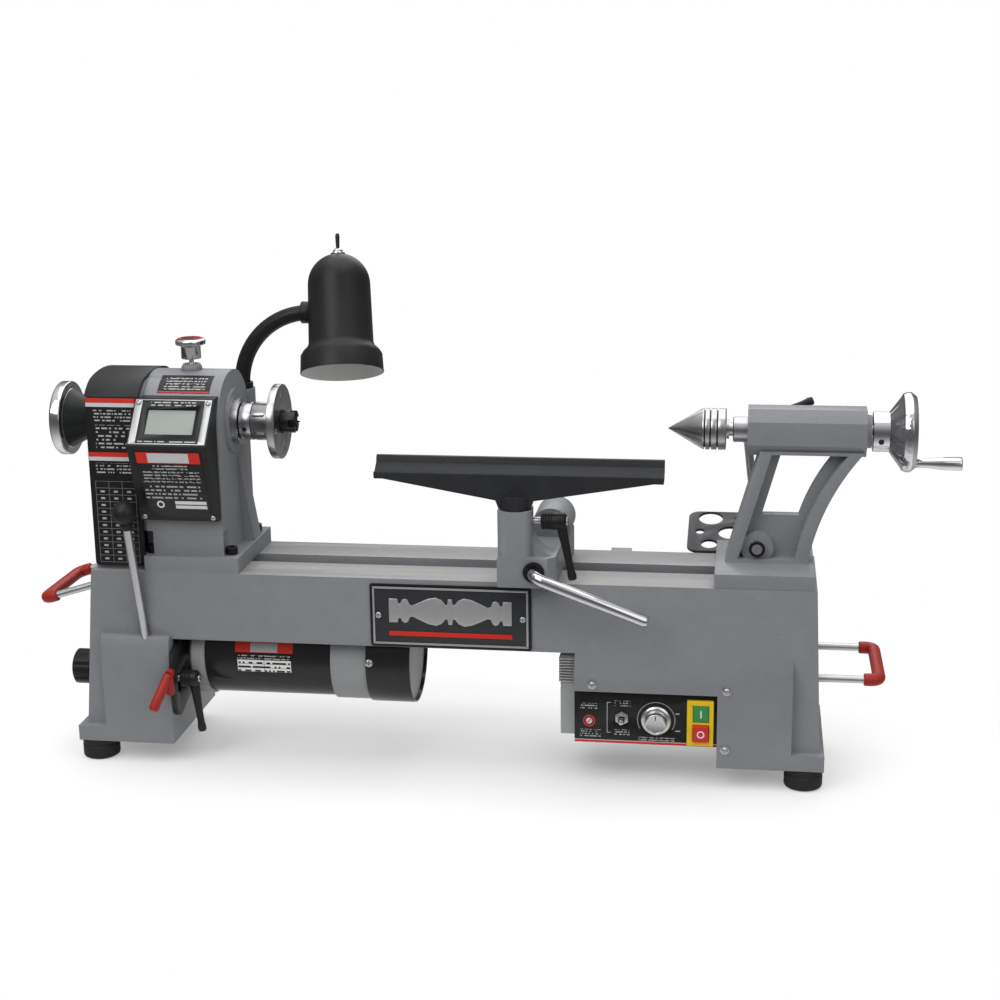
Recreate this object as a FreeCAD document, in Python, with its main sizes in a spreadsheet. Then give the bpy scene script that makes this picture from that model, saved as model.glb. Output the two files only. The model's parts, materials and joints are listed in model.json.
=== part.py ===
"""Bench-top wood-turning lathe, 12 inch swing, as a parametric FreeCAD document.

Machine frame used by every sub-part before it is placed: x runs from the bed's left end towards the
tailstock, y from the spindle's plane towards the back, z up from the bed ways. The document's own
frame stands on the bench, centred under the whole machine, so each sub-part's Placement adds
bed_left, plane_back and way_height.
"""
import FreeCAD, Part
import math
import os
import re
import Sketcher

Vector = FreeCAD.Vector
Rotation = FreeCAD.Rotation

DIMENSIONS = {
    # where the machine stands in the document's frame
    "bed_left": -421.97, "plane_back": -14.6, "way_height": 215.0,
    # spindle line above the ways
    "swing_radius": 152.4,
    # bed casting
    "bed_length": 768.0, "bed_half": 65.0, "wall": 8.0, "way_thick": 16.0, "beam_depth": 75.0,
    "slot_left": 100.0, "slot_right": 748.0, "slot_half": 15.0, "leg_half": 75.0,
    "leg_base": 192.0, "left_splay": 17.0, "right_splay": 8.0, "left_pad": 8.7, "left_leg_end": 84.5,
    "left_ledge": 71.0, "apron_left": 521.0, "apron_base": 113.0, "right_leg_start": 669.5,
    "right_pad": 746.0, "right_ledge": 74.0, "lug_height": 17.0, "left_lug": 23.0, "right_lug": 780.0,
    "belt_hole_left": 17.0, "belt_hole_right": 55.0, "belt_hole_half": 47.0,
    "door_half": 42.0, "door_top": 92.0, "door_base": 168.5, "door_thick": 4.0, "door_lap": 4.0,
    "door_gap": 0.4, "ledge_chamfer": 10.0,
    "stop_lug_left": 548.0, "stop_lug_right": 570.0, "stop_lug_reach": 12.0,
    # feet
    "foot_radius": 20.0, "left_foot": -6.0, "right_foot": 759.5, "foot_back": 55.0,
    "foot_bolt_radius": 4.0,
    # name plate on the beam
    "plate_left": 305.0, "plate_right": 476.0, "plate_top": 5.0, "plate_base": 74.0, "plate_thick": 2.0,
    # headstock casting
    "head_start": 4.0, "head_seam": 63.0, "head_end": 147.0, "head_half": 58.0, "head_top": 207.5,
    "head_round": 56.0, "head_wall": 8.0, "flange_left": 60.5, "flange_right": 163.5, "flange_height": 17.0,
    "tunnel_half": 55.0, "tunnel_top": 199.0, "tunnel_round": 34.0, "left_wall_end": 16.0,
    "mid_wall_start": 58.0,
    "mid_wall_end": 66.0,
    "right_wall_start": 136.0, "boss_radius": 35.0, "boss_end": 150.0,
    "head_bolt_left": 64.5, "head_bolt_right": 152.0, "head_bolt_back": 47.0, "bolt_radius": 4.0,
    "bolt_head_radius": 6.5, "bolt_head_height": 8.0,
    # belt cover and lid
    "cover_front": 60.0, "cover_gap": 0.4, "lid_sill": 188.0, "lid_top": 208.5, "crown_side": 22.0,
    "crown_drop": 4.5,
    "lid_thick": 3.0, "hinge_back": 62.0, "hinge_up": 183.0, "hinge_radius": 2.5, "knuckle_radius": 4.5,
    "knuckle_left": 16.0, "knuckle_right": 52.0, "pin_gap": 0.05,
    # speed readout
    "readout_left": 60.5, "readout_right": 145.5, "readout_top": 187.5, "nose_out": 97.0, "nose_up": 144.5,
    "readout_base": 57.5, "readout_foot": 66.5, "window_left": 77.0, "window_right": 129.0,
    # spindle, faceplate and centres
    "spindle_radius": 12.5, "spindle_left": -38.0, "nose_radius": 12.7, "nose_end": 193.0,
    "collar_start": 158.0, "collar_end": 170.0, "collar_radius": 20.3, "bore_radius": 6.0,
    "index_left": 98.0, "index_right": 109.0, "index_radius": 40.0, "index_holes": 24.0,
    "bearing_radius": 26.0, "bearing_end": 157.0, "bearing_start": 140.0, "left_bearing_radius": 23.0,
    "hub_start": 170.6, "hub_radius": 20.0, "face_start": 193.0, "face_end": 201.0, "face_radius": 40.0,
    "face_hole_circle": 30.0, "face_hole_radius": 2.6, "spur_radius": 12.0, "spur_end": 216.0,
    "spur_tip": 221.0,
    "spur_slot": 3.5, "spur_slot_depth": 6.0, "taper_start": 130.0, "taper_radius": 8.9, "taper_small": 7.6,
    "wheel_left": -46.0, "wheel_right": -34.0, "wheel_radius": 40.0, "wheel_hub": 12.0,
    "wheel_hub_end": 1.0,
    # pulleys and belt
    "motor_drop": 103.0, "pulley_left": 20.0, "pulley_mid": 34.0, "pulley_right": 50.0,
    "spindle_step_a": 40.0, "spindle_step_b": 30.0, "motor_step_a": 22.0, "motor_step_b": 32.0,
    "belt_left": 22.5, "belt_right": 32.5, "belt_thick": 3.0, "belt_gap": 0.3, "rim_width": 1.6,
    "rim_rise": 2.0,
    # index pin
    "pin_x": 103.5, "bush_radius": 11.0, "bush_top": 214.0, "pin_radius": 4.0, "pin_stem": 2.5,
    "pin_body_start": 219.5, "pin_body_radius": 10.5, "cap_start": 233.0, "cap_top": 241.0,
    "cap_radius": 16.0,
    # motor
    "motor_left": 99.0, "bell_right": 116.0, "shell_right": 256.0, "band_right": 295.0,
    "motor_right": 343.0,
    "bell_radius": 52.5, "shell_radius": 50.0, "fan_radius": 54.5, "shaft_radius": 8.0, "shaft_hole": 21.0,
    "mount_left": 86.0, "mount_right": 90.0, "pivot_back": 48.0, "pivot_drop": 118.0, "pivot_radius": 6.0,
    "lock_front": 62.0, "lock_drop": 120.0, "lock_radius": 4.0,
    "grip_radius": 6.0, "plate_front": 82.0,
    # ratchet clamping levers
    "lever_barrel": 9.0, "lever_length": 21.0, "lever_stud": 4.0, "lever_stud_length": 11.0,
    "lever_arm": 62.0,
    "lever_lean": 13.0, "arm_root": 5.5, "arm_tip": 4.0,
    # access door knob
    "knob_radius": 19.8, "knob_start": -30.0, "knob_end": -50.0, "knob_up": -133.5, "knob_lobes": 8.0,
    # knock-out bar
    "bar_radius": 4.5, "bar_x": 57.5, "bar_front": -68.6, "bar_top_x": 48.5, "bar_top_front": -83.0,
    "ball_up": 68.7, "ball_radius": 13.0, "bar_depth": 22.0,
    # carry handles
    "handle_rod": 4.0, "handle_half": 50.5, "handle_reach": 58.0, "handle_tail": 34.0, "left_tail": 11.0,
    "handle_corner": 9.0,
    "handle_grip": 6.6, "left_handle_drop": 21.5, "right_handle_drop": 97.5, "left_droop": 17.0,
    # control box and panel
    "box_left": 505.0, "box_front": 56.5, "box_back": 45.0, "box_top": 81.0, "box_base": 168.0,
    "box_right": 662.0,
    "panel_top": 100.0, "panel_base": 171.5, "panel_front": 69.0, "fins": 7.0,
    "switch_left": 638.5, "switch_right": 666.0, "switch_top": 119.5, "switch_base": 168.5,
    "switch_proud": 6.0,
    "button_left": 645.0, "button_right": 661.0, "start_top": 125.0, "start_base": 142.5,
    "stop_top": 146.0, "stop_base": 163.5, "button_proud": 9.0, "button_gap": 0.4,
    "dial_x": 606.5, "dial_drop": 144.0, "dial_radius": 15.8, "dial_length": 15.0,
    "toggle_x": 570.7, "toggle_drop": 143.0, "toggle_radius": 2.6,
    # lamp
    "lamp_x": 139.0, "lamp_back": 66.0, "lamp_boss": 13.5, "arm_radius": 8.5, "arm_base": 150.0,
    "arm_bend": 180.0, "arm_sweep": 80.0, "shade_apex_x": 246.4, "shade_apex_back": 90.0,
    "shade_apex_up": 320.5,
    "rim_x": 258.0, "rim_back": 42.0, "rim_up": 198.0, "shade_length": 131.6, "shade_radius": 34.0,
    "rim_radius": 45.5, "flare_start": 99.0, "flare_end": 112.0,
    "shade_wall": 1.8, "bulb_radius": 20.0,
    # tool rest and banjo
    "rest_left": 315.0, "rest_right": 612.0, "rest_top": 131.0, "post_x": 460.5, "post_front": -67.0,
    "post_radius": 12.7, "column_radius": 17.5, "column_top": 80.0, "banjo_left": 443.0,
    "banjo_right": 503.0,
    "banjo_front": -84.0, "banjo_back": 62.0, "banjo_height": 32.0, "clamp_x": 481.0, "shaft_up": 17.5,
    "cam_radius": 7.5, "cam_reach": 105.0, "lever_end_x": 599.3, "lever_end_up": -28.0, "lever_rod": 6.2,
    "hump_radius": 21.0, "hump_up": 42.0, "hump_front": 0.0, "lock_up": 67.5,
    # tailstock
    "tail_left": 663.8, "tail_right": 765.0, "tail_base": 15.0, "house_left": 694.0, "house_right": 814.0,
    "house_half": 22.0, "house_top": 24.0, "house_facet": 12.0, "rib_half": 20.0, "web_half": 6.0,
    "quill_radius": 13.1, "quill_front": 679.0, "quill_back": 790.0, "screw_radius": 6.0,
    "cam_x": 706.3, "cam_up": 30.3, "tail_bolt": 6.0,
    "hand_hub_start": 820.5, "hand_hub_end": 836.5, "hand_hub": 20.4, "hand_rim_start": 849.0,
    "hand_rim_end": 863.0, "hand_radius": 40.8, "crank_drop": 32.0, "crank_start": 861.0,
    "crank_end": 911.0,
    "cone_tip": 612.0, "cone_end": 647.6, "centre_end": 672.0, "centre_radius": 21.4, "neck_radius": 7.0,
    "clamp_rod_x": 694.0, "clamp_rod_up": 134.0, "quill_lock_x": 703.0,
    # tool rack behind the bed
    "rack_left": 630.5, "rack_right": 753.0, "rack_depth": 84.0, "rack_tilt": 16.0, "rack_thick": 3.0,
}

RACK_HOLES = ((24.5, 70.0, 13.5), (13.2, 41.0, 5.2), (24.0, 15.3, 9.0), (46.4, 39.5, 13.0),
              (56.0, 70.2, 4.5), (95.0, 62.0, 13.5), (85.0, 25.0, 11.0))

doc = FreeCAD.newDocument("WoodLathe")
sheet = doc.addObject("Spreadsheet::Sheet", "Dims")
for row, (alias, size) in enumerate(DIMENSIONS.items(), start=1):
    sheet.set("A%d" % row, alias)
    sheet.set("B%d" % row, str(size))
    sheet.setAlias("B%d" % row, alias)
doc.recompute()

NODES = {}


def ref(text):
    """Expression with each dimension's name turned into its spreadsheet cell."""
    def cell(word):
        return "Dims." + word.group() if word.group() in DIMENSIONS else word.group()
    return re.sub(r"[a-z][a-z0-9_]*", cell, str(text))


def value(text):
    """Number that an expression gives, in millimetres or degrees."""
    result = sheet.evalExpression(ref(text))
    return float(getattr(result, "Value", result))


def bind(item, prop, text):
    """Bind a property of a document object to an expression."""
    item.setExpression(prop, ref(text))


def move(item, x=0, y=0, z=0, turn=None):
    """Put an object at a place in the machine frame, turned by an optional Rotation."""
    item.Placement = FreeCAD.Placement(Vector(), turn or Rotation())
    if "Spot" not in item.PropertiesList:
        item.addProperty("App::PropertyStringList", "Spot")
    item.Spot = [str(x), str(y), str(z)]
    for letter, text in zip("xyz", item.Spot):
        bind(item, "Placement.Base." + letter, text)
    return item


def finish(node, item):
    """Name a finished sub-part and carry it from the machine frame to the document's frame."""
    spot = list(item.Spot) if "Spot" in item.PropertiesList else ["0", "0", "0"]
    for letter, text, shift in zip("xyz", spot, ("bed_left", "plane_back", "way_height")):
        bind(item, "Placement.Base." + letter, "%s + (%s)" % (shift, text))
    item.Label = node
    NODES[node] = item


def block(name, xs, ys, zs):
    """Rectangular block between three pairs of places."""
    solid = doc.addObject("Part::Box", name)
    for prop, span in (("Length", xs), ("Width", ys), ("Height", zs)):
        bind(solid, prop, "(%s) - (%s)" % (span[1], span[0]))
    return move(solid, xs[0], ys[0], zs[0])


ALONG = {"X": Rotation(Vector(0, 1, 0), 90), "Y": Rotation(Vector(1, 0, 0), -90), "Z": Rotation()}


def rod(name, axis, radius, ends, across):
    """Round bar along X, Y or Z; across gives its place along the two other axes, in order."""
    solid = doc.addObject("Part::Cylinder", name)
    bind(solid, "Radius", radius)
    bind(solid, "Height", "(%s) - (%s)" % (ends[1], ends[0]))
    spot = list(across)
    spot.insert("XYZ".index(axis), ends[0])
    return move(solid, *spot, turn=ALONG[axis])


def strut(name, radius, start, end, tip=None):
    """Round bar from one point to another, tapering to another radius where tip is given."""
    kind = "Part::Cylinder" if tip is None else "Part::Cone"
    solid = doc.addObject(kind, name)
    if tip is None:
        bind(solid, "Radius", radius)
    else:
        bind(solid, "Radius1", radius)
        bind(solid, "Radius2", tip)
    squares = ["((%s) - (%s)) ^ 2" % pair for pair in zip(end, start)]
    bind(solid, "Height", "sqrt(%s)" % " + ".join(squares))
    way = Vector(*[value(text) for text in end]) - Vector(*[value(text) for text in start])
    return move(solid, *start, turn=Rotation(Vector(0, 0, 1), way))


def ball(name, radius, x, y, z):
    """Sphere about a point."""
    solid = doc.addObject("Part::Sphere", name)
    bind(solid, "Radius", radius)
    return move(solid, x, y, z)


def bend(name, ring, radius, x, y, z, turn, angle=90):
    """Part of a torus about a point: a bent bar's corner."""
    solid = doc.addObject("Part::Torus", name)
    bind(solid, "Radius1", ring)
    bind(solid, "Radius2", radius)
    bind(solid, "Angle3", angle)
    return move(solid, x, y, z, turn)


def fused(name, parts):
    """One solid from several that meet."""
    whole = doc.addObject("Part::MultiFuse", name)
    whole.Shapes = parts
    return whole


def cut(name, base, tools):
    """A solid with other solids taken away from it."""
    tool = tools[0]
    if len(tools) > 1:
        tool = fused(name + "_tools", tools)
    result = doc.addObject("Part::Cut", name)
    result.Base = base
    result.Tool = tool
    return result


def group(name, parts):
    """Separate solids that share one node."""
    whole = doc.addObject("Part::Compound", name)
    whole.Links = parts
    return whole


def arc_edge(start, end, radius):
    """Arc from start to end: counter-clockwise for a positive radius, clockwise for a negative one."""
    first, last = (start, end) if radius > 0 else (end, start)
    chord = last - first
    rise = math.sqrt(max(radius ** 2 - chord.Length ** 2 / 4, 0))
    left = Vector(-chord.y, chord.x, 0).normalize()
    centre = (first + last) * 0.5 + left * rise
    angles = [math.atan2((point - centre).y, (point - centre).x) for point in (first, last)]
    circle = Part.Circle(centre, Vector(0, 0, 1), abs(radius))
    return Part.ArcOfCircle(circle, angles[0], angles[1])


def outline(sketch, corners):
    """Closed profile through corners (x, y[, radius of the arc that leaves the corner])."""
    points = [Vector(value(corner[0]), value(corner[1]), 0) for corner in corners]
    radii = [value(corner[2]) if len(corner) > 2 else 0 for corner in corners]
    count = len(corners)
    first_end = []
    for index in range(count):
        start, end = points[index], points[(index + 1) % count]
        if radii[index]:
            sketch.addGeometry(arc_edge(start, end, radii[index]))
        else:
            sketch.addGeometry(Part.LineSegment(start, end))
        first_end.append(2 if radii[index] < 0 else 1)
    ties = []
    for index in range(count):
        after = (index + 1) % count
        ties.append(Sketcher.Constraint("Coincident", index, 3 - first_end[index], after, first_end[after]))
    sketch.addConstraint(ties)
    sizes = []
    for index, corner in enumerate(corners):
        for letter, number in (("X", points[index].x), ("Y", points[index].y)):
            sizes.append(Sketcher.Constraint("Distance" + letter, -1, 1, index, first_end[index], number))
        if radii[index]:
            sizes.append(Sketcher.Constraint("Radius", index, abs(radii[index])))
    first_size = len(ties)
    sketch.addConstraint(sizes)
    slot = first_size
    for index, corner in enumerate(corners):
        for text in corner[:2]:
            bind(sketch, "Constraints[%d]" % slot, text)
            slot += 1
        if radii[index]:
            bind(sketch, "Constraints[%d]" % slot, "abs(%s)" % corner[2])
            slot += 1


def plane_sketch(body, plane, name):
    """Sketch on one of a body's own origin planes."""
    sketch = body.newObject("Sketcher::SketchObject", name)
    base = [item for item in body.Origin.OriginFeatures if item.Role == plane + "_Plane"][0]
    sketch.AttachmentSupport = [(base, "")]
    sketch.MapMode = "FlatFace"
    return sketch


def extruded(name, plane, corners, low, high):
    """Profile in the XY, XZ or YZ plane, padded between two places along the third axis."""
    body = doc.addObject("PartDesign::Body", name)
    sketch = plane_sketch(body, plane, name + "_outline")
    start = "-(%s)" % high if plane == "XZ" else low
    bind(sketch, "AttachmentOffset.Base.z", start)
    outline(sketch, corners)
    pad = body.newObject("PartDesign::Pad", name + "_pad")
    pad.Profile = sketch
    bind(pad, "Length", "(%s) - (%s)" % (high, low))
    return body


def turned(name, corners, x=0, y=0, z="swing_radius", turn=None):
    """Profile of (distance along the axis, radius) corners, revolved about its own X axis."""
    body = doc.addObject("PartDesign::Body", name)
    sketch = plane_sketch(body, "XZ", name + "_profile")
    outline(sketch, corners)
    spin = body.newObject("PartDesign::Revolution", name + "_spin")
    spin.Profile = sketch
    spin.ReferenceAxis = (sketch, ["H_Axis"])
    spin.Angle = 360
    return move(body, x, y, z, turn)


def round_box(low, high, base, top, radius):
    """Corners of a rectangle with rounded corners, for outline()."""
    return (("(%s) + (%s)" % (low, radius), base), ("(%s) - (%s)" % (high, radius), base, radius),
            (high, "(%s) + (%s)" % (base, radius)), (high, "(%s) - (%s)" % (top, radius), radius),
            ("(%s) - (%s)" % (high, radius), top), ("(%s) + (%s)" % (low, radius), top, radius),
            (low, "(%s) - (%s)" % (top, radius)), (low, "(%s) + (%s)" % (base, radius), radius))


def arch(half, top, round_size, base):
    """Section of the headstock: upright sides, round shoulders and a flat crown."""
    return (("-(%s)" % half, base), (half, base), (half, "(%s) - (%s)" % (top, round_size), round_size),
            ("(%s) - (%s)" % (half, round_size), top),
            ("(%s) - (%s)" % (round_size, half), top, round_size),
            ("-(%s)" % half, "(%s) - (%s)" % (top, round_size)))


def crown(half, top, base):
    """Section of the belt lid: two full shoulders that meet in a nearly flat crown."""
    side, rise = "(%s) - crown_side" % half, "(%s) - crown_drop" % top
    return (("-(%s)" % half, base), (half, base, "45"), (side, rise, "162"), ("-(%s)" % side, rise, "45"))


def build_bed():
    """One casting: slotted ways, hollow beam, two legs, lugs, and the holes that other pieces pass."""
    beam = extruded("bed_beam", "XZ", (
        (0, 0), ("bed_length", 0), ("bed_length + right_splay", "-leg_base"),
        ("right_leg_start", "-leg_base"),
        ("right_leg_start", "-apron_base"), ("apron_left", "-apron_base"), ("apron_left", "-beam_depth"),
        ("left_leg_end", "-beam_depth"), ("left_leg_end", "-leg_base"), ("-left_splay", "-leg_base")),
        "-bed_half", "bed_half")
    left_pad = extruded("bed_left_pad", "YZ", (
        ("-leg_half", "-leg_base"), ("leg_half", "-leg_base"), ("leg_half", "-left_ledge - ledge_chamfer"),
        ("leg_half - ledge_chamfer / 3", "-left_ledge"), ("-leg_half + ledge_chamfer / 3", "-left_ledge"),
        ("-leg_half", "-left_ledge - ledge_chamfer")), "left_pad", "left_leg_end")
    right_pad = extruded("bed_right_pad", "YZ", (
        ("-leg_half", "-apron_base"), ("leg_half", "-apron_base"),
        ("leg_half", "-right_ledge - 2 * ledge_chamfer"),
        ("bed_half", "-right_ledge"), ("-bed_half", "-right_ledge"),
        ("-leg_half", "-right_ledge - 2 * ledge_chamfer")), "apron_left", "right_pad")
    right_leg = block("bed_right_leg", ("right_leg_start", "right_pad"), ("-leg_half", "leg_half"),
                      ("-leg_base", "-apron_base"))
    left_lug = block("bed_left_lug", ("-left_lug", "left_pad"), ("-leg_half", "leg_half"),
                     ("-leg_base", "-leg_base + lug_height"))
    right_lug = block("bed_right_lug", ("right_pad", "right_lug"), ("-leg_half", "leg_half"),
                      ("-leg_base", "-leg_base + lug_height"))
    stop_lug = block("bed_stop_lug", ("stop_lug_left", "stop_lug_right"),
                     ("bed_half - wall", "bed_half + stop_lug_reach"),
                     ("-beam_depth / 4", "0"))
    body = fused("bed_body", [beam, left_pad, right_pad, right_leg, left_lug, right_lug, stop_lug])

    inside = "bed_half - wall"
    below = "-leg_base - wall"
    beam_hollow = block("bed_beam_hollow", ("wall", "bed_length - wall"), ("-(%s)" % inside, inside),
                        (below, "-way_thick"))
    left_hollow = block("bed_left_hollow", ("-wall / 2", "2 * wall"), ("-(%s)" % inside, inside),
                        (below, "-left_ledge - 2 * ledge_chamfer"))
    leg_walls = [block("bed_leg_wall_%d" % index, span, ("-bed_half", "bed_half"),
                       ("-leg_base", "-beam_depth - wall"))
                 for index, span in enumerate((("left_leg_end - wall", "left_leg_end"),
                                               ("right_leg_start", "right_leg_start + wall")))]
    ways_slot = block("bed_slot", ("slot_left", "slot_right"), ("-slot_half", "slot_half"),
                      ("-way_thick - wall", "wall"))
    belt_hole = block("bed_belt_hole", ("belt_hole_left", "belt_hole_right"),
                      ("-belt_hole_half", "belt_hole_half"),
                      ("-way_thick - wall", "wall"))
    doorway = block("bed_doorway", ("-2 * left_splay", "0"), ("-door_half", "door_half"),
                    ("-door_base", "-door_top"))
    bar_hole = strut("bed_bar_hole", "bar_radius + 0.2", bar_point("-bar_depth - wall"), bar_point("wall"))
    left_slots = [block("bed_left_slot_%d" % index, ("-2 * wall", "2 * wall"),
                        ("%d * handle_half - handle_rod - 0.3" % side,
                         "%d * handle_half + handle_rod + 0.3" % side),
                        ("-left_handle_drop - 3 * handle_rod", "-left_handle_drop + 2.5 * handle_rod"))
                  for index, side in enumerate((-1, 1))]
    right_holes = [rod("bed_right_hole_%d" % index, "X", "handle_rod + 0.08",
                       ("bed_length - 2 * wall", "bed_length + wall"),
                       ("%d * handle_half" % side, "-right_handle_drop")) for index,
                       side in enumerate((-1, 1))]
    foot_holes = [rod("bed_foot_hole_%d" % index, "Z", "foot_bolt_radius + 0.3",
                      ("-leg_base - wall", "-leg_base + lug_height + wall"),
                      spot) for index, spot in enumerate(foot_spots())]
    bolt_holes = [rod("bed_bolt_hole_%d" % index, "Z", "bolt_radius + pin_gap",
                      ("-way_thick - wall", "wall"), spot)
                  for index, spot in enumerate(head_bolt_spots())]
    hollow = fused("bed_hollow", [cut("bed_beam_space", beam_hollow, leg_walls), left_hollow, ways_slot,
                                  belt_hole, doorway, bar_hole] + left_slots + right_holes + bolt_holes)
    opened = cut("bed_opened", body, [hollow] + foot_holes)
    shaft_hole = rod("bed_shaft_hole", "X", "shaft_hole",
                     ("left_leg_end - 2 * wall", "left_leg_end + wall"),
                     ("0", "-motor_drop"))
    pivot_hole = rod("bed_pivot_hole", "X", "pivot_radius + 0.06",
                     ("left_leg_end - 2 * wall", "left_leg_end + wall"),
                     ("pivot_back", "-pivot_drop"))
    lock_hole = rod("bed_lock_hole", "X", "lock_radius + 0.06",
                    ("left_leg_end - 2 * wall", "left_leg_end + wall"),
                    ("-lock_front", "-lock_drop"))
    finish("bed", cut("bed_casting", opened, [shaft_hole, pivot_hole, lock_hole]))


def bar_point(rise):
    """Point on the knock-out bar's line, a given distance up it from the leg's ledge."""
    lean_x = "(bar_top_x - bar_x) / (ball_up + left_ledge)"
    lean_y = "(bar_top_front - bar_front) / (ball_up + left_ledge)"
    return ("bar_x + (%s) * %s" % (rise, lean_x), "bar_front + (%s) * %s" % (rise, lean_y),
            "-left_ledge + (%s)" % rise)


def head_bolt_spots(back="head_bolt_back"):
    """Centres of the four bolts through the headstock's flange."""
    return [(x, "%d * (%s)" % (side, back)) for x in ("head_bolt_left", "head_bolt_right")
            for side in (-1, 1)]


def foot_spots():
    """Centres of the four feet."""
    return [(x, y) for x in ("left_foot", "right_foot") for y in ("-foot_back", "foot_back")]


def build_feet():
    """Rubber feet, and the bolts that hold the feet and the headstock."""
    feet = [rod("foot_%d" % index, "Z", "foot_radius", ("-way_height", "-leg_base"), spot)
            for index, spot in enumerate(foot_spots())]
    finish("rubber_feet", group("feet", feet))


def build_bolts():
    """Socket head bolts through the headstock's flange."""
    bolts = []
    for index, spot in enumerate(head_bolt_spots()):
        shank = rod("bolt_shank_%d" % index, "Z", "bolt_radius", ("-way_thick / 2", "flange_height"), spot)
        head = rod("bolt_head_%d" % index, "Z", "bolt_head_radius",
                   ("flange_height", "flange_height + bolt_head_height"), spot)
        bolts.append(fused("bolt_%d" % index, [shank, head]))
    finish("frame_bolts", group("bolts", bolts))


def screw(name, x, y, z, radius=4.0, rise=2.2):
    """Pan-head cover screw that faces the front."""
    return rod(name, "Y", radius, ("(%s) - %s" % (y, rise), y), (x, z))


def build_front_plates():
    """Name plate on the beam and every small cover screw on the machine's front."""
    finish("nameplate", extruded("beam_plate", "XZ", round_box("plate_left", "plate_right", "-plate_base",
                                                               "-plate_top", "3"),
                                 "-bed_half - plate_thick", "-bed_half"))
    middle = "-(plate_top + plate_base) / 2"
    spots = [("plate_left + 9", "-bed_half - plate_thick", middle),
             ("plate_right - 9", "-bed_half - plate_thick", middle),
             ("540", "-leg_half", "-panel_top - 5"), ("679", "-leg_half", "-panel_top - 7"),
             ("678", "-leg_half", "-panel_base")]
    finish("cover_screws", group("screws", [screw("screw_%d" % index, *spot) for index,
                                            spot in enumerate(spots)]))


def build_headstock():
    """Headstock casting: arched tunnel with bearing walls, nose boss, lamp socket and base flange."""
    main = extruded("head_main", "YZ", arch("head_half", "head_top", "head_round", 0), "head_seam",
                    "head_end")
    left = extruded("head_left", "YZ", arch("tunnel_half", "tunnel_top", "tunnel_round", 0), "head_start",
                    "head_seam")
    end_wall = extruded("head_end_wall", "YZ", arch("tunnel_half", "lid_sill - 1", "6", 0), "head_start",
                        "left_wall_end")
    bulkhead = extruded("head_bulkhead", "YZ", crown("cover_front - lid_thick - 0.6",
                                                     "lid_top - lid_thick - 0.6", "lid_sill - 40"),
                        "cover_front + 0.3", "head_seam + 1")
    flange = block("head_flange", ("flange_left", "flange_right"), ("-bed_half", "bed_half"),
                   (0, "flange_height"))
    boss = rod("head_boss", "X", "boss_radius", ("head_end - wall", "boss_end"), ("0", "swing_radius"))
    socket = rod("head_lamp_socket", "Z", "lamp_boss", ("arm_base - wall", "arm_bend - wall / 2"),
                 ("lamp_x", "lamp_back"))
    pin_boss = rod("head_pin_boss", "Z", "13", ("head_top - 6", "head_top"), ("pin_x", "0"))
    flare = extruded("head_flare", "XZ", (
        ("head_end - 1", "swing_radius - 34"), ("head_end - 1", "flange_height - 1"),
        ("head_end + 15", "flange_height - 1")), "8", "32")
    body = fused("head_body", [main, left, end_wall, bulkhead, flange, boss, socket, pin_boss, flare])
    belt_room = extruded("head_belt_room", "YZ", (
        ("-belt_hole_half", "-wall"), ("belt_hole_half", "-wall"), ("belt_hole_half", "tunnel_top + wall"),
        ("-belt_hole_half", "tunnel_top + wall")), "left_wall_end", "mid_wall_start")
    belt_window = block("head_belt_window", ("left_wall_end", "mid_wall_start"), ("-head_half - wall", "0"),
                        ("flange_height + wall", "lid_sill - wall"))
    main_room = extruded("head_main_room", "YZ", arch("head_half - head_wall", "head_top - head_wall",
                                                      "head_round - head_wall", "-wall"),
                         "mid_wall_end", "right_wall_start")
    bores = [rod("head_left_bore", "X", "left_bearing_radius", ("head_start - 1", "left_wall_end + 1"),
                 ("0", "swing_radius")),
             rod("head_mid_bore", "X", "spindle_radius + 4", ("mid_wall_start - 1", "mid_wall_end + 1"),
                 ("0", "swing_radius")),
             rod("head_right_bore", "X", "bearing_radius", ("right_wall_start - 1", "boss_end + 1"),
                 ("0", "swing_radius")),
             rod("head_pin_bore", "Z", "pin_radius + 0.06", ("swing_radius", "head_top + 1"),
                 ("pin_x", "0")),
             rod("head_lamp_bore", "Z", "arm_radius + 0.1", ("arm_base - 0.3", "arm_bend"),
                 ("lamp_x", "lamp_back"))]
    hinge_ears = []
    for side, span in (("left", ("head_start + 1", "knuckle_left - 0.4")),
                       ("right", ("knuckle_right + 0.4", "head_seam"))):
        hinge_ears.append(block("head_ear_web_" + side, span, ("tunnel_half - 12", "hinge_back"),
                                ("hinge_up - knuckle_radius", "hinge_up + knuckle_radius")))
        hinge_ears.append(rod("head_ear_" + side, "X", "knuckle_radius", span, ("hinge_back", "hinge_up")))
    pin_hole = rod("head_hinge_hole", "X", "hinge_radius", ("head_start", "head_end"),
                   ("hinge_back", "hinge_up"))
    bolt_holes = [rod("head_bolt_hole_%d" % index, "Z", "bolt_radius + pin_gap", (-1, "flange_height + 1"),
                      spot)
                  for index, spot in enumerate(head_bolt_spots())]
    # the flange bolts sit in pockets let into the casting's corners
    pockets = [rod("head_pocket_%d" % index, "Z", "bolt_head_radius + 3",
                   ("flange_height", "flange_height + 26"), spot)
               for index, spot in enumerate(head_bolt_spots("head_bolt_back + 3"))]
    bed_holes = [belt_room, belt_window, main_room] + bores
    hollowed = cut("head_hollowed", body, bed_holes + bolt_holes + pockets)
    eared = fused("head_eared", [hollowed] + hinge_ears)
    finish("headstock", cut("head_casting", eared, [pin_hole]))


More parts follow.
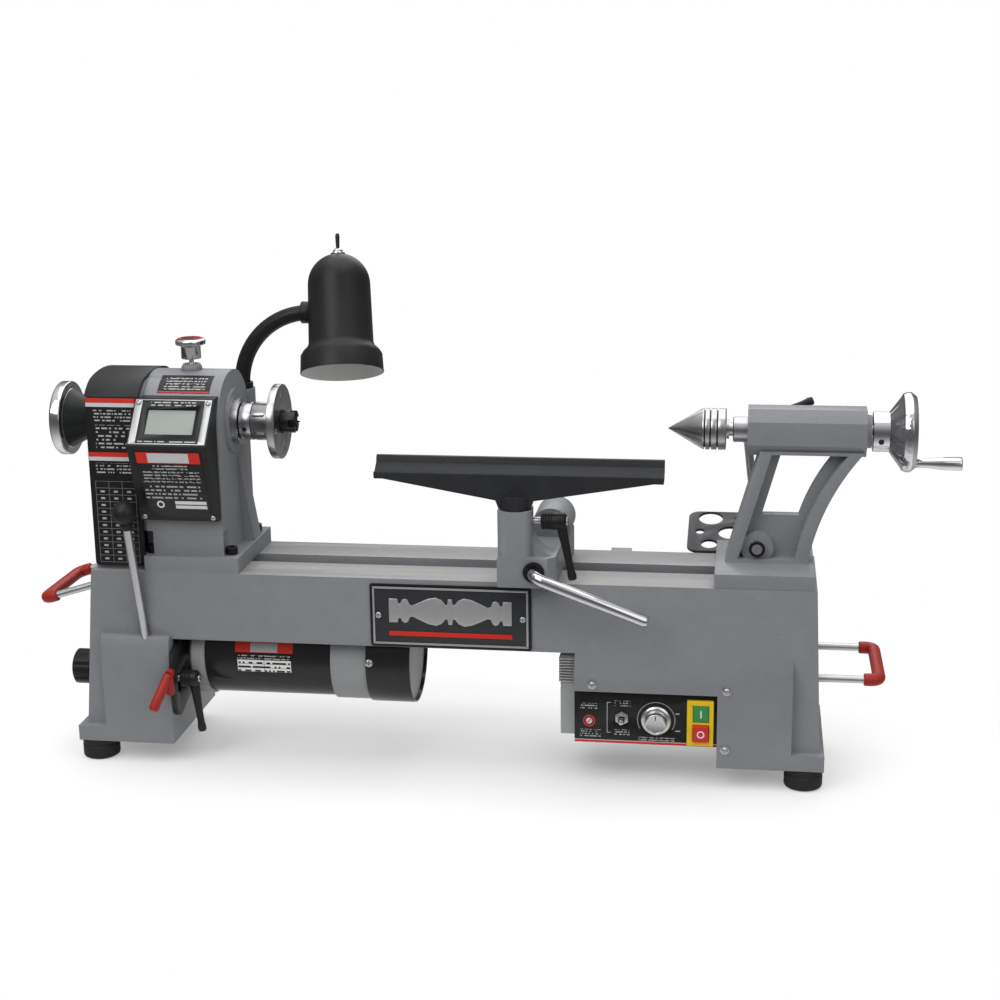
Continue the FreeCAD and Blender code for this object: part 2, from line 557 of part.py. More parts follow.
def build_belt_covers():
    """Fixed front belt cover, hinged lid and the lid's hinge pin."""
    cover = extruded("belt_front", "XZ", round_box("head_start", "cover_front", "4", "lid_sill - cover_gap",
                                                   "4"),
                     "-cover_front", "-tunnel_half - 0.1")
    finish("belt_cover", cover)
    outer = extruded("lid_outer", "YZ", crown("cover_front", "lid_top", "lid_sill"),
                     "head_start", "head_seam - cover_gap")
    inner = extruded("lid_inner", "YZ", crown("cover_front - lid_thick", "lid_top - lid_thick",
                                              "lid_sill - 1"), "head_start - 1", "head_seam")
    strap = block("lid_strap", ("knuckle_left", "knuckle_right"), ("cover_front - 7", "hinge_back"),
                  ("hinge_up", "lid_sill + 4"))
    knuckle = rod("lid_knuckle", "X", "knuckle_radius", ("knuckle_left", "knuckle_right"),
                  ("hinge_back", "hinge_up"))
    bore = rod("lid_bore", "X", "hinge_radius + pin_gap", ("head_start", "head_end"),
               ("hinge_back", "hinge_up"))
    shell = cut("lid_shell", outer, [inner])
    finish("belt_lid", cut("lid", fused("lid_whole", [shell, strap, knuckle]), [bore]))
    finish("lid_hinge_pin", rod("hinge_pin", "X", "hinge_radius", ("head_start + 1", "head_seam"),
                                ("hinge_back", "hinge_up")))


def build_readout():
    """Wedge-shaped speed readout on the headstock's front, and its window."""
    shoulder = "head_round - head_half - sqrt(head_round ^ 2 - (readout_top - head_top + head_round) ^ 2)"
    wedge = extruded("readout_wedge", "YZ", (
        ("-head_half", "readout_base"), ("-head_half", "head_top - head_round", "-head_round"),
        (shoulder, "readout_top"), ("-head_half - 2", "readout_top"),
        ("-nose_out", "nose_up"), ("-readout_foot", "readout_base")), "readout_left", "readout_right")
    hollow = extruded("readout_hollow", "YZ", (
        ("-head_half + 1", "readout_base + 6"), ("-head_half + 1", "readout_top - 8"),
        ("-nose_out + 4", "nose_up"), ("-readout_foot + 1", "readout_base + 6")), "readout_left + 3",
        "readout_right - 3")
    face_tilt = value("atan2(nose_out - head_half - 2; readout_top - nose_up)")
    recess = doc.addObject("Part::Box", "readout_recess")
    window = doc.addObject("Part::Box", "readout_glass")
    for item, grow, thick in ((recess, 0, "12"), (window, 0.3, "2.5")):
        bind(item, "Length", "window_right - window_left - %s" % (2 * grow))
        bind(item, "Width", thick)
        bind(item, "Height", "30 - %s" % (2 * grow))
    middle_y = "-(head_half + 2 + nose_out) / 2"
    middle_z = "(readout_top + nose_up) / 2"
    turn = Rotation(Vector(1, 0, 0), -face_tilt)
    lean = math.radians(face_tilt)
    for item, grow, deep in ((recess, 0, 6), (window, 0.3, 0.6)):
        corner = turn.multVec(Vector(0, 0, -15 + grow))
        inset = turn.multVec(Vector(0, -deep if item is recess else deep, 0))
        move(item, "window_left + %s" % grow, "%s + %.4f" % (middle_y, corner.y + inset.y),
             "%s + %.4f" % (middle_z, corner.z + inset.z), turn)
    notch = block("readout_notch", ("readout_left - 1", "head_seam + 1.2"),
                  ("-head_half", "-head_half + 20"),
                  ("head_top - head_round", "readout_top + 1"))
    finish("readout_housing", cut("readout", wedge, [hollow, recess, notch]))
    finish("readout_window", window)


def build_spindle():
    """Spindle with its index flange and collar, its pulley, faceplate, spur centre and outboard wheel."""
    shaft = turned("spindle_shaft", (
        ("spindle_left", "bore_radius"), ("nose_end", "bore_radius"), ("nose_end", "nose_radius"),
        ("collar_end", "nose_radius"), ("collar_end", "collar_radius"), ("collar_start", "collar_radius"),
        ("collar_start", "spindle_radius"), ("index_right", "spindle_radius"),
        ("index_right", "index_radius"),
        ("index_left", "index_radius"), ("index_left", "spindle_radius"),
        ("spindle_left", "spindle_radius")))
    taper = strut("spindle_taper", "taper_small", ("taper_start", "0", "swing_radius"),
                  ("nose_end + 0.01", "0", "swing_radius"), "taper_radius")
    holes = []
    for index in range(int(value("index_holes"))):
        turn = Rotation(Vector(1, 0, 0), 360.0 / value("index_holes") * index)
        start = turn.multVec(Vector(0, 0, value("index_radius") - 7))
        hole = doc.addObject("Part::Cylinder", "index_hole_%d" % index)
        bind(hole, "Radius", "pin_radius + 0.3")
        hole.Height = 12
        move(hole, "(index_left + index_right) / 2", start.y, "swing_radius + %.5f" % start.z, turn)
        holes.append(hole)
    finish("spindle", cut("spindle_bored", shaft, [taper] + holes))

    grooves = (("pulley_left", "spindle_step_a", "pulley_mid"),
               ("pulley_mid + rim_width", "spindle_step_b", "pulley_right"))
    finish("spindle_pulley", turned("head_pulley", stepped_pulley("spindle_radius", grooves)))
    bearings = [ring("front_bearing", ("bearing_start", "bearing_end"), "bearing_radius",
                     "spindle_radius + pin_gap"),
                ring("rear_bearing", ("head_start", "left_wall_end"), "left_bearing_radius",
                     "spindle_radius + pin_gap")]
    finish("spindle_bearings", group("bearings", bearings))

    plate = turned("face_body", (
        ("hub_start", "nose_radius + 0.02"), ("face_end", "nose_radius + 0.02"),
        ("face_end", "face_radius"),
        ("face_start", "face_radius"), ("face_start", "hub_radius"), ("hub_start", "hub_radius")))
    screw_holes = []
    for index in range(4):
        turn = Rotation(Vector(1, 0, 0), 90.0 * index + 10)
        spot = turn.multVec(Vector(0, 0, value("face_hole_circle")))
        screw_holes.append(rod("face_hole_%d" % index, "X", "face_hole_radius",
                               ("face_start - 1", "face_end + 1"),
                               (spot.y, "swing_radius + %.5f" % spot.z)))
    finish("faceplate", cut("face_drilled", plate, screw_holes))

    spur = turned("spur_body", (
        ("taper_start + 3", 0), ("spur_tip", 0), ("spur_end - 3", "3"), ("spur_end - spur_slot_depth", "3"),
        ("spur_end - spur_slot_depth", "5"),
        ("spur_end", "5"), ("spur_end", "spur_radius"), ("nose_end + 0.5", "spur_radius"),
        ("nose_end + 0.5", "taper_radius - 0.1"),
        ("taper_start + 3", "taper_small")))
    slots = [block("spur_slot_0", ("spur_end - spur_slot_depth", "spur_end + 0.1"), ("5.2", "20"),
                   ("swing_radius - spur_slot", "swing_radius + spur_slot")),
             block("spur_slot_1", ("spur_end - spur_slot_depth", "spur_end + 0.1"), ("-20", "-5.2"),
                   ("swing_radius - spur_slot", "swing_radius + spur_slot")),
             block("spur_slot_2", ("spur_end - spur_slot_depth", "spur_end + 0.1"),
                   ("-spur_slot", "spur_slot"),
                   ("swing_radius + 5.2", "swing_radius + 20")),
             block("spur_slot_3", ("spur_end - spur_slot_depth", "spur_end + 0.1"),
                   ("-spur_slot", "spur_slot"),
                   ("swing_radius - 20", "swing_radius - 5.2"))]
    finish("spur_centre", cut("spur", spur, slots))

    finish("outboard_handwheel", turned("outboard", (
        ("wheel_left", "spindle_radius + 0.02"), ("wheel_hub_end", "spindle_radius + 0.02"),
        ("wheel_hub_end", "wheel_hub + 5"),
        ("wheel_hub_end - 8", "wheel_hub + 5"), ("wheel_right", "wheel_radius - 8"),
        ("wheel_right", "wheel_radius - 1"),
        ("wheel_right - 1", "wheel_radius"), ("wheel_left + 2", "wheel_radius"),
        ("wheel_left", "wheel_radius - 2"))))


def stepped_pulley(bore, grooves):
    """Profile of a pulley: each groove is (left end, belt seat radius, right end), with a rim at each end."""
    (left, seat_a, mid), (mid_b, seat_b, right) = grooves
    top_a = "%s + rim_rise" % seat_a
    top_b = "%s + rim_rise" % seat_b
    return ((left, bore), (right, bore), (right, top_b), ("%s - rim_width" % right, top_b),
            ("%s - rim_width" % right, seat_b), (mid_b, seat_b), (mid_b, "max(%s; %s)" % (top_a, top_b)),
            (mid, "max(%s; %s)" % (top_a, top_b)), (mid, seat_a), ("%s + rim_width" % left, seat_a),
            ("%s + rim_width" % left, top_a), (left, top_a))


def ring(name, ends, outer, inner, across=("0", "swing_radius")):
    """Plain ring along X."""
    return cut(name, rod(name + "_outer", "X", outer, ends, across),
               [rod(name + "_inner", "X", inner, ("(%s) - 1" % ends[0], "(%s) + 1" % ends[1]), across)])


def belt_loop(name, head_radius, motor_radius, low, high):
    """Belt outline round the two pulleys: two arcs joined by tangent runs."""
    drop = "(swing_radius + motor_drop)"
    lean = "(%s - %s) / %s" % (head_radius, motor_radius, drop)
    flat = "sqrt(1 - (%s) ^ 2)" % lean
    head_y = "(%s) * %s" % (head_radius, flat)
    head_z = "swing_radius - (%s) * (%s)" % (head_radius, lean)
    motor_y = "(%s) * %s" % (motor_radius, flat)
    motor_z = "-motor_drop - (%s) * (%s)" % (motor_radius, lean)
    return extruded(name, "YZ", (
        ("-(%s)" % motor_y, motor_z, motor_radius), (motor_y, motor_z), (head_y, head_z, head_radius),
        ("0", "swing_radius + (%s)" % head_radius, head_radius), ("-(%s)" % head_y, head_z)), low, high)


def build_belt():
    """Ribbed drive belt from the motor's small step to the spindle's large step."""
    outer = belt_loop("belt_outer", "spindle_step_a + belt_gap + belt_thick",
                      "motor_step_a + belt_gap + belt_thick",
                      "belt_left", "belt_right")
    inner = belt_loop("belt_inner", "spindle_step_a + belt_gap", "motor_step_a + belt_gap", "belt_left - 1",
                      "belt_right + 1")
    finish("drive_belt", cut("belt", outer, [inner]))


def build_index_pin():
    """Sprung index pin over the spindle's index flange, and the bush that guides it."""
    upright = Rotation(Vector(0, 1, 0), -90)
    bush = turned("pin_bush", (("head_top + 0.02", "pin_radius + 0.06"), ("bush_top", "pin_radius + 0.06"),
                               ("bush_top", "bush_radius - 2"), ("head_top + 3", "bush_radius"),
                               ("head_top + 0.02", "bush_radius")),
                  "pin_x", 0, 0, upright)
    finish("index_bush", bush)
    tip = "swing_radius + index_radius + 1"
    pin = turned("pin_plunger", ((tip, 0), ("cap_top", 0), ("cap_top", "cap_radius - 2"),
                                 ("cap_top - 2", "cap_radius"),
                                 ("cap_start + 2", "cap_radius"), ("cap_start", "pin_body_radius"),
                                 ("pin_body_start", "pin_body_radius"), ("pin_body_start", "pin_stem"),
                                 ("bush_top + 0.3", "pin_stem"), ("bush_top + 0.3", "pin_radius"),
                                 (tip, "pin_radius")),
                 "pin_x", 0, 0, upright)
    finish("index_pin", pin)


def build_motor():
    """Tilting motor: shell, fan cover, end bells, mounting plate with its pivot pin, tension handle."""
    at = {"z": "-motor_drop"}
    shell = turned("motor_shell", (
        ("bell_right", "shell_radius - 3"), ("shell_right", "shell_radius - 3"),
        ("shell_right", "shell_radius"),
        ("bell_right", "shell_radius")), **at)
    fan = turned("motor_fan", (
        ("band_right", "fan_radius - 2"), ("motor_right - 6", "fan_radius - 2"), ("motor_right - 6", "0"),
        ("motor_right - 4", "0"), ("motor_right - 4", "fan_radius - 2"), ("motor_right", "fan_radius - 2"),
        ("motor_right", "fan_radius"),
        ("band_right", "fan_radius")), **at)
    finish("motor_body", group("motor_shells", [shell, fan]))
    bell = turned("motor_bell", (
        ("mount_right", "shaft_radius + 6"), ("motor_left - 3", "shaft_radius + 6"),
        ("motor_left", "bell_radius - 4"),
        ("motor_left + 3", "bell_radius"), ("bell_right", "bell_radius"),
        ("bell_right", "shaft_radius + pin_gap"),
        ("mount_right", "shaft_radius + pin_gap")), **at)
    band = turned("motor_band", (
        ("shell_right", "shaft_radius + pin_gap"), ("shell_right", "bell_radius"),
        ("band_right", "bell_radius"),
        ("band_right", "shaft_radius + pin_gap")), **at)
    finish("motor_end_bells", group("motor_bells", [bell, band]))

    plate = extruded("mount_outline", "YZ", (
        ("-40", "-beam_depth - 2"), ("-78", "-beam_depth - 14"), ("-plate_front", "-beam_depth - 30"),
        ("-plate_front", "-beam_depth - 58"),
        ("-72", "-beam_depth - 82", "16"), ("-52", "-beam_depth - 86"), ("8", "-beam_depth - 62"),
        ("pivot_back + 14", "-beam_depth - 56"),
        ("pivot_back + 14", "-beam_depth - 20"), ("pivot_back", "-beam_depth - 2")), "mount_left",
        "mount_right")
    shaft_way = rod("mount_shaft_way", "X", "shaft_radius + 1", ("mount_left - 1", "mount_right + 1"),
                    ("0", "-motor_drop"))
    slot_ends = [rod("mount_slot_%d" % index, "X", "lock_radius + 1", ("mount_left - 1", "mount_right + 1"),
                     ("-lock_front + (%s)" % shift, "-lock_drop + (%s)" % rise))
                 for index, (shift, rise) in enumerate((("0", "0"), ("0.3", "-11.5")))]
    slot_middle = block("mount_slot_middle", ("mount_left - 1", "mount_right + 1"),
                        ("-lock_front - lock_radius - 0.8", "-lock_front + lock_radius + 1.2"),
                        ("-lock_drop - 11.5", "-lock_drop"))
    opened = cut("mount_opened", plate, [shaft_way, slot_middle] + slot_ends)
    pin = rod("mount_pin", "X", "pivot_radius", ("left_leg_end - wall - 3", "mount_right"),
              ("pivot_back", "-pivot_drop"))
    finish("motor_plate", fused("mount", [opened, pin]))

    start = ("(mount_left + mount_right) / 2", "-plate_front", "-motor_drop - 4")
    end = ("mount_left - 10", "-plate_front - 30", "-motor_drop - 36")
    bar = fused("tension_bar", [strut("tension_core", "grip_radius", start, end),
                                ball("tension_end", "grip_radius", *end)])
    clearance = block("tension_clearance", ("mount_left - 20", "mount_right + 20"),
                      ("-plate_front - 0.3", "0"),
                      ("-motor_drop - 60", "0"))
    finish("tension_handle", cut("tension_grip", bar, [clearance]))

    motor_turn = {"z": "-motor_drop"}
    grooves = (("pulley_left", "motor_step_a", "pulley_mid"),
               ("pulley_mid + rim_width", "motor_step_b", "pulley_right"))
    wheel = turned("motor_wheel", stepped_pulley("shaft_radius", grooves), **motor_turn)
    shaft = rod("motor_shaft", "X", "shaft_radius", ("pulley_left - 3", "motor_right - 10"),
                ("0", "-motor_drop"))
    finish("motor_pulley", fused("rotor", [wheel, shaft]))


def ratchet_lever(node, x, y, z, turn):
    """Adjustable clamping lever: a stud along its own X axis, a barrel and a leaning arm."""
    stud = rod(node + "_stud", "X", "lever_stud", ("-lever_stud_length", "lever_length"), ("0", "0"))
    barrel = rod(node + "_barrel", "X", "lever_barrel", (0, "lever_length"), ("0", "0"))
    arm = strut(node + "_arm", "arm_root", ("lever_length - arm_root", "0", "0"),
                ("lever_length - arm_root + lever_lean", "0", "-lever_arm"), "arm_tip")
    tip = ball(node + "_tip", "arm_tip", "lever_length - arm_root + lever_lean", "0", "-lever_arm")
    whole = fused(node + "_whole", [stud, barrel, arm, tip])
    move(whole, x, y, z, turn)
    finish(node, whole)


def build_levers():
    """The three ratchet levers: motor lock, tool rest lock and quill lock."""
    ratchet_lever("tension_lock_lever", "mount_right + 2.2", "-lock_front", "-lock_drop",
                  Rotation(Vector(1, 0, 0), 4))
    ratchet_lever("tool_rest_lock", "post_x + column_radius + 9", "post_front", "lock_up", Rotation())
    sideways = Rotation(Vector(0, 0, 1), 90)
    swing = Rotation(Vector(0, 1, 0), 110)
    ratchet_lever("quill_lock_lever", "quill_lock_x", "house_half + 2.5", "swing_radius",
                  swing.multiply(sideways))


def build_access():
    """Access door in the left end, its lobed knob, and the knock-out bar parked in the leg's ledge."""
    foot_x = "-left_splay * (door_base + door_lap) / leg_base - door_gap"
    head_x = "-left_splay * (door_top - door_lap) / leg_base - door_gap"
    door = extruded("door_sheet", "XZ", (
        (foot_x + " - door_thick", "-door_base - door_lap"), (foot_x, "-door_base - door_lap"),
        (head_x, "-door_top + door_lap"), (head_x + " - door_thick", "-door_top + door_lap")),
        "-door_half - door_lap", "door_half + door_lap")
    stud_way = rod("door_way", "X", "4.06", ("-3 * left_splay", "0"), ("0", "knob_up"))
    finish("access_door", cut("door", door, [stud_way]))
    knob = turned("knob_core", (("knob_start + 24", 0), ("knob_start + 24", 4), ("knob_start + 10", 4),
                                ("knob_start + 10", 7), ("knob_start", 9), ("knob_start", "knob_radius"),
                                ("knob_end + 2", "knob_radius"), ("knob_end", "knob_radius - 3"),
                                ("knob_end", 0)), z="knob_up")
    flutes = []
    for index in range(int(value("knob_lobes"))):
        turn = Rotation(Vector(1, 0, 0), 360.0 / value("knob_lobes") * (index + 0.5))
        spot = turn.multVec(Vector(0, 0, value("knob_radius") + 2.2))
        flutes.append(rod("knob_flute_%d" % index, "X", "4.5", ("knob_end - 1", "knob_start + 1"),
                          (spot.y, "knob_up + %.5f" % spot.z)))
    finish("door_knob", cut("knob", knob, flutes))

    bar = strut("bar_core", "bar_radius", bar_point("-bar_depth"),
                ("bar_top_x", "bar_top_front", "ball_up"))
    grip = ball("bar_ball", "ball_radius", "bar_top_x", "bar_top_front", "ball_up")
    finish("knockout_bar", fused("bar_whole", [bar, grip]))


def carry_handle(side, x, drop, tail, turn):
    """U-shaped carrying handle: a rod with two bends, and a soft grip over its crossbar."""
    bars = []
    reach = "handle_reach - handle_corner"
    for index, sign in enumerate((-1, 1)):
        bars.append(rod("%s_bar_%d" % (side, index), "X", "handle_rod", ("-(%s)" % tail, reach),
                        ("%d * handle_half" % sign, "0")))
        corner = Rotation(Vector(0, 0, 1), -90 if sign < 0 else 0)
        bars.append(bend("%s_corner_%d" % (side, index), "handle_corner", "handle_rod", reach,
                         "%d * (handle_half - handle_corner)" % sign, "0", corner))
    bars.append(rod("%s_cross" % side, "Y", "handle_rod",
                    ("-handle_half + handle_corner", "handle_half - handle_corner"),
                    ("handle_reach", "0")))
    whole = fused(side + "_handle", bars)
    move(whole, x, "0", "-(%s)" % drop, turn)
    finish(side + "_handle_rod", whole)
    sleeve = cut(side + "_sleeve",
                 rod(side + "_sleeve_outer", "Y", "handle_grip",
                     ("-handle_half + handle_corner", "handle_half - handle_corner"),
                     ("handle_reach", "0")),
                 [rod(side + "_sleeve_inner", "Y", "handle_rod + 0.02", ("-handle_half", "handle_half"),
                      ("handle_reach", "0"))])
    move(sleeve, x, "0", "-(%s)" % drop, turn)
    finish(side + "_handle_grip", sleeve)


def build_handles():
    """Carrying handles at both ends; the left one droops in its slots."""
    carry_handle("right", "bed_length + right_splay", "right_handle_drop", "handle_tail", Rotation())
    outward = Rotation(Vector(0, 0, 1), 180)
    droop = Rotation(Vector(0, 1, 0), -value("left_droop"))
    carry_handle("left", "-5", "left_handle_drop", "left_tail", droop.multiply(outward))


def build_controls():
    """Control box with its cooling fins, the front panel, switch frame, buttons, speed knob and toggle."""
    box = block("box_outer", ("box_left", "box_right"), ("-box_front", "box_back"),
                ("-box_base", "-box_top"))
    room = block("box_room", ("box_left + 3", "box_right - 2"), ("-box_front + 2", "box_back - 2"),
                 ("-box_base + 2", "-box_top - 2"))
    fin_gaps = []
    for index in range(int(value("fins"))):
        low = "-box_top - 4 - %d * 4.4" % (index + 1)
        fin_gaps.append(block("fin_gap_%d" % index, ("box_left - 1", "box_left + 2"),
                              ("-box_front - 1", "box_back + 1"), (low, low + " + 2.2")))
    finish("control_box", cut("box", box, [room] + fin_gaps))

    panel = extruded("panel_sheet", "XZ", (
        ("apron_left", "-panel_base"), ("right_leg_start", "-panel_base"),
        ("right_leg_start", "-apron_base - 0.4"), ("apron_left", "-apron_base - 0.4")),
        "-panel_front", "-panel_front + 3")
    window = block("panel_window", ("switch_left + 2", "switch_right - 2"),
                   ("-panel_front - 1", "-panel_front + 4"),
                   ("-switch_base + 2", "-switch_top - 2"))
    dial_hole = rod("panel_dial_hole", "Y", "4.06", ("-panel_front - 1", "-panel_front + 4"),
                    ("dial_x", "-dial_drop"))
    toggle_hole = rod("panel_toggle_hole", "Y", "toggle_radius + 0.8",
                      ("-panel_front - 1", "-panel_front + 4"), ("toggle_x", "-toggle_drop"))
    ribs = [block("panel_rib_%d" % index, ("apron_left + 2", "right_leg_start - 2"),
                  ("-panel_front + 3", "-box_front"), span)
            for index, span in enumerate((("-panel_base", "-panel_base + 2"),
                                          ("-apron_base - 2.4", "-apron_base - 0.4")))]
    finish("control_panel", cut("panel", fused("panel_whole", [panel] + ribs),
                                [window, dial_hole, toggle_hole]))

    outer = block("switch_outer", ("switch_left", "switch_right"),
                  ("-panel_front - switch_proud", "-panel_front"),
                  ("-switch_base", "-switch_top"))
    body = block("switch_body", ("switch_left + 2.4", "switch_right - 2.4"),
                 ("-panel_front", "-box_front - 1"),
                 ("-switch_base + 2.4", "-switch_top - 2.4"))
    wells = [block("switch_well_%d" % index, ("button_left - button_gap", "button_right + button_gap"),
                   ("-panel_front - switch_proud - 1", "-box_front - 3"),
                   ("-%s - button_gap" % low, "-%s + button_gap" % high))
             for index, (low, high) in enumerate((("start_base", "start_top"), ("stop_base", "stop_top")))]
    finish("power_switch_frame", cut("switch", fused("switch_whole", [outer, body]), wells))
    finish("start_button", block("start", ("button_left", "button_right"),
                                 ("-panel_front - button_proud + 3", "-box_front - 7.5"),
                                 ("-start_base", "-start_top")))
    finish("stop_button", block("stop", ("button_left", "button_right"),
                                ("-panel_front - button_proud", "-box_front - 7.5"),
                                ("-stop_base", "-stop_top")))

    facing = Rotation(Vector(0, 0, 1), -90)
    knob = turned("dial", (("-8", 0), ("-8", "4"), ("0.6", "4"), ("0.6", "dial_radius"),
                           ("3", "dial_radius"),
                           ("4", "dial_radius - 3"), ("dial_length", "dial_radius - 4"),
                           ("dial_length", 0)),
                  "dial_x", "-panel_front", "-dial_drop", facing)
    finish("speed_knob", knob)
    toggle = turned("toggle", (("-8", 0), ("-8", "toggle_radius"), ("3", "toggle_radius"),
                               ("12", "toggle_radius + 0.6"),
                               ("14", "toggle_radius - 0.6"), ("14", 0)), "toggle_x", "-panel_front",
                               "-toggle_drop", facing)
    finish("direction_lever", toggle)


def build_lamp():
    """Work lamp: bent arm in the headstock's socket, tilting shade, bulb and toggle switch."""
    upright = rod("lamp_stem", "Z", "arm_radius", ("arm_base", "arm_bend"), ("lamp_x", "lamp_back"))
    curve = bend("lamp_curve", "arm_sweep", "arm_radius", "lamp_x + arm_sweep", "lamp_back", "arm_bend",
                 Rotation(Vector(1, 0, 0), 90).multiply(Rotation(Vector(0, 0, 1), 90)))
    finish("lamp_gooseneck", fused("lamp_arm", [upright, curve]))
    apex = Vector(value("shade_apex_x"), value("shade_apex_back"), value("shade_apex_up"))
    rim = Vector(value("rim_x"), value("rim_back"), value("rim_up"))
    down = Rotation(Vector(1, 0, 0), rim - apex)
    spot = {"x": "shade_apex_x", "y": "shade_apex_back", "z": "shade_apex_up"}
    shade = turned("shade_form", (
        (0, 0), ("shade_wall", 0, "shade_wall - shade_radius"),
        ("shade_radius", "shade_radius - shade_wall"),
        ("flare_start", "shade_radius - shade_wall + 1"), ("flare_end", "rim_radius - shade_wall - 1"),
        ("shade_length", "rim_radius - shade_wall"), ("shade_length", "rim_radius"),
        ("flare_end", "rim_radius - 1"),
        ("flare_start", "shade_radius + 1"), ("shade_radius", "shade_radius", "shade_radius")), turn=down,
        **spot)
    side_hole = rod("shade_side_hole", "X", "arm_radius + 0.4", ("lamp_x", "lamp_x + arm_sweep + 6"),
                    ("lamp_back", "arm_bend + arm_sweep"))
    nut = turned("shade_nut", (("0.2", 0), ("0.2", "5.5"), ("-3.6", "5.5"), ("-6", "3.4"), ("-6", 0)),
                 turn=down, **spot)
    finish("lamp_shade", fused("shade_whole", [cut("shade", shade, [side_hole]), nut]))
    bulb = turned("bulb_form", (
        ("3", 0), ("3", "8"), ("16", "13"), ("42", "13"), ("flare_start - 44", "bulb_radius - 4"),
        ("flare_start - 32", "bulb_radius"),
        ("flare_start - 22", "bulb_radius"), ("flare_start - 10", "bulb_radius - 8"),
        ("flare_start - 6", 0)), turn=down, **spot)
    finish("lamp_bulb", bulb)
    toggle = turned("lamp_toggle", (
        ("-6.4", 0), ("-6.4", "1.9"), ("-20", "2.4"), ("-23", "2"), ("-23", 0)), turn=down, **spot)
    finish("lamp_switch", toggle)


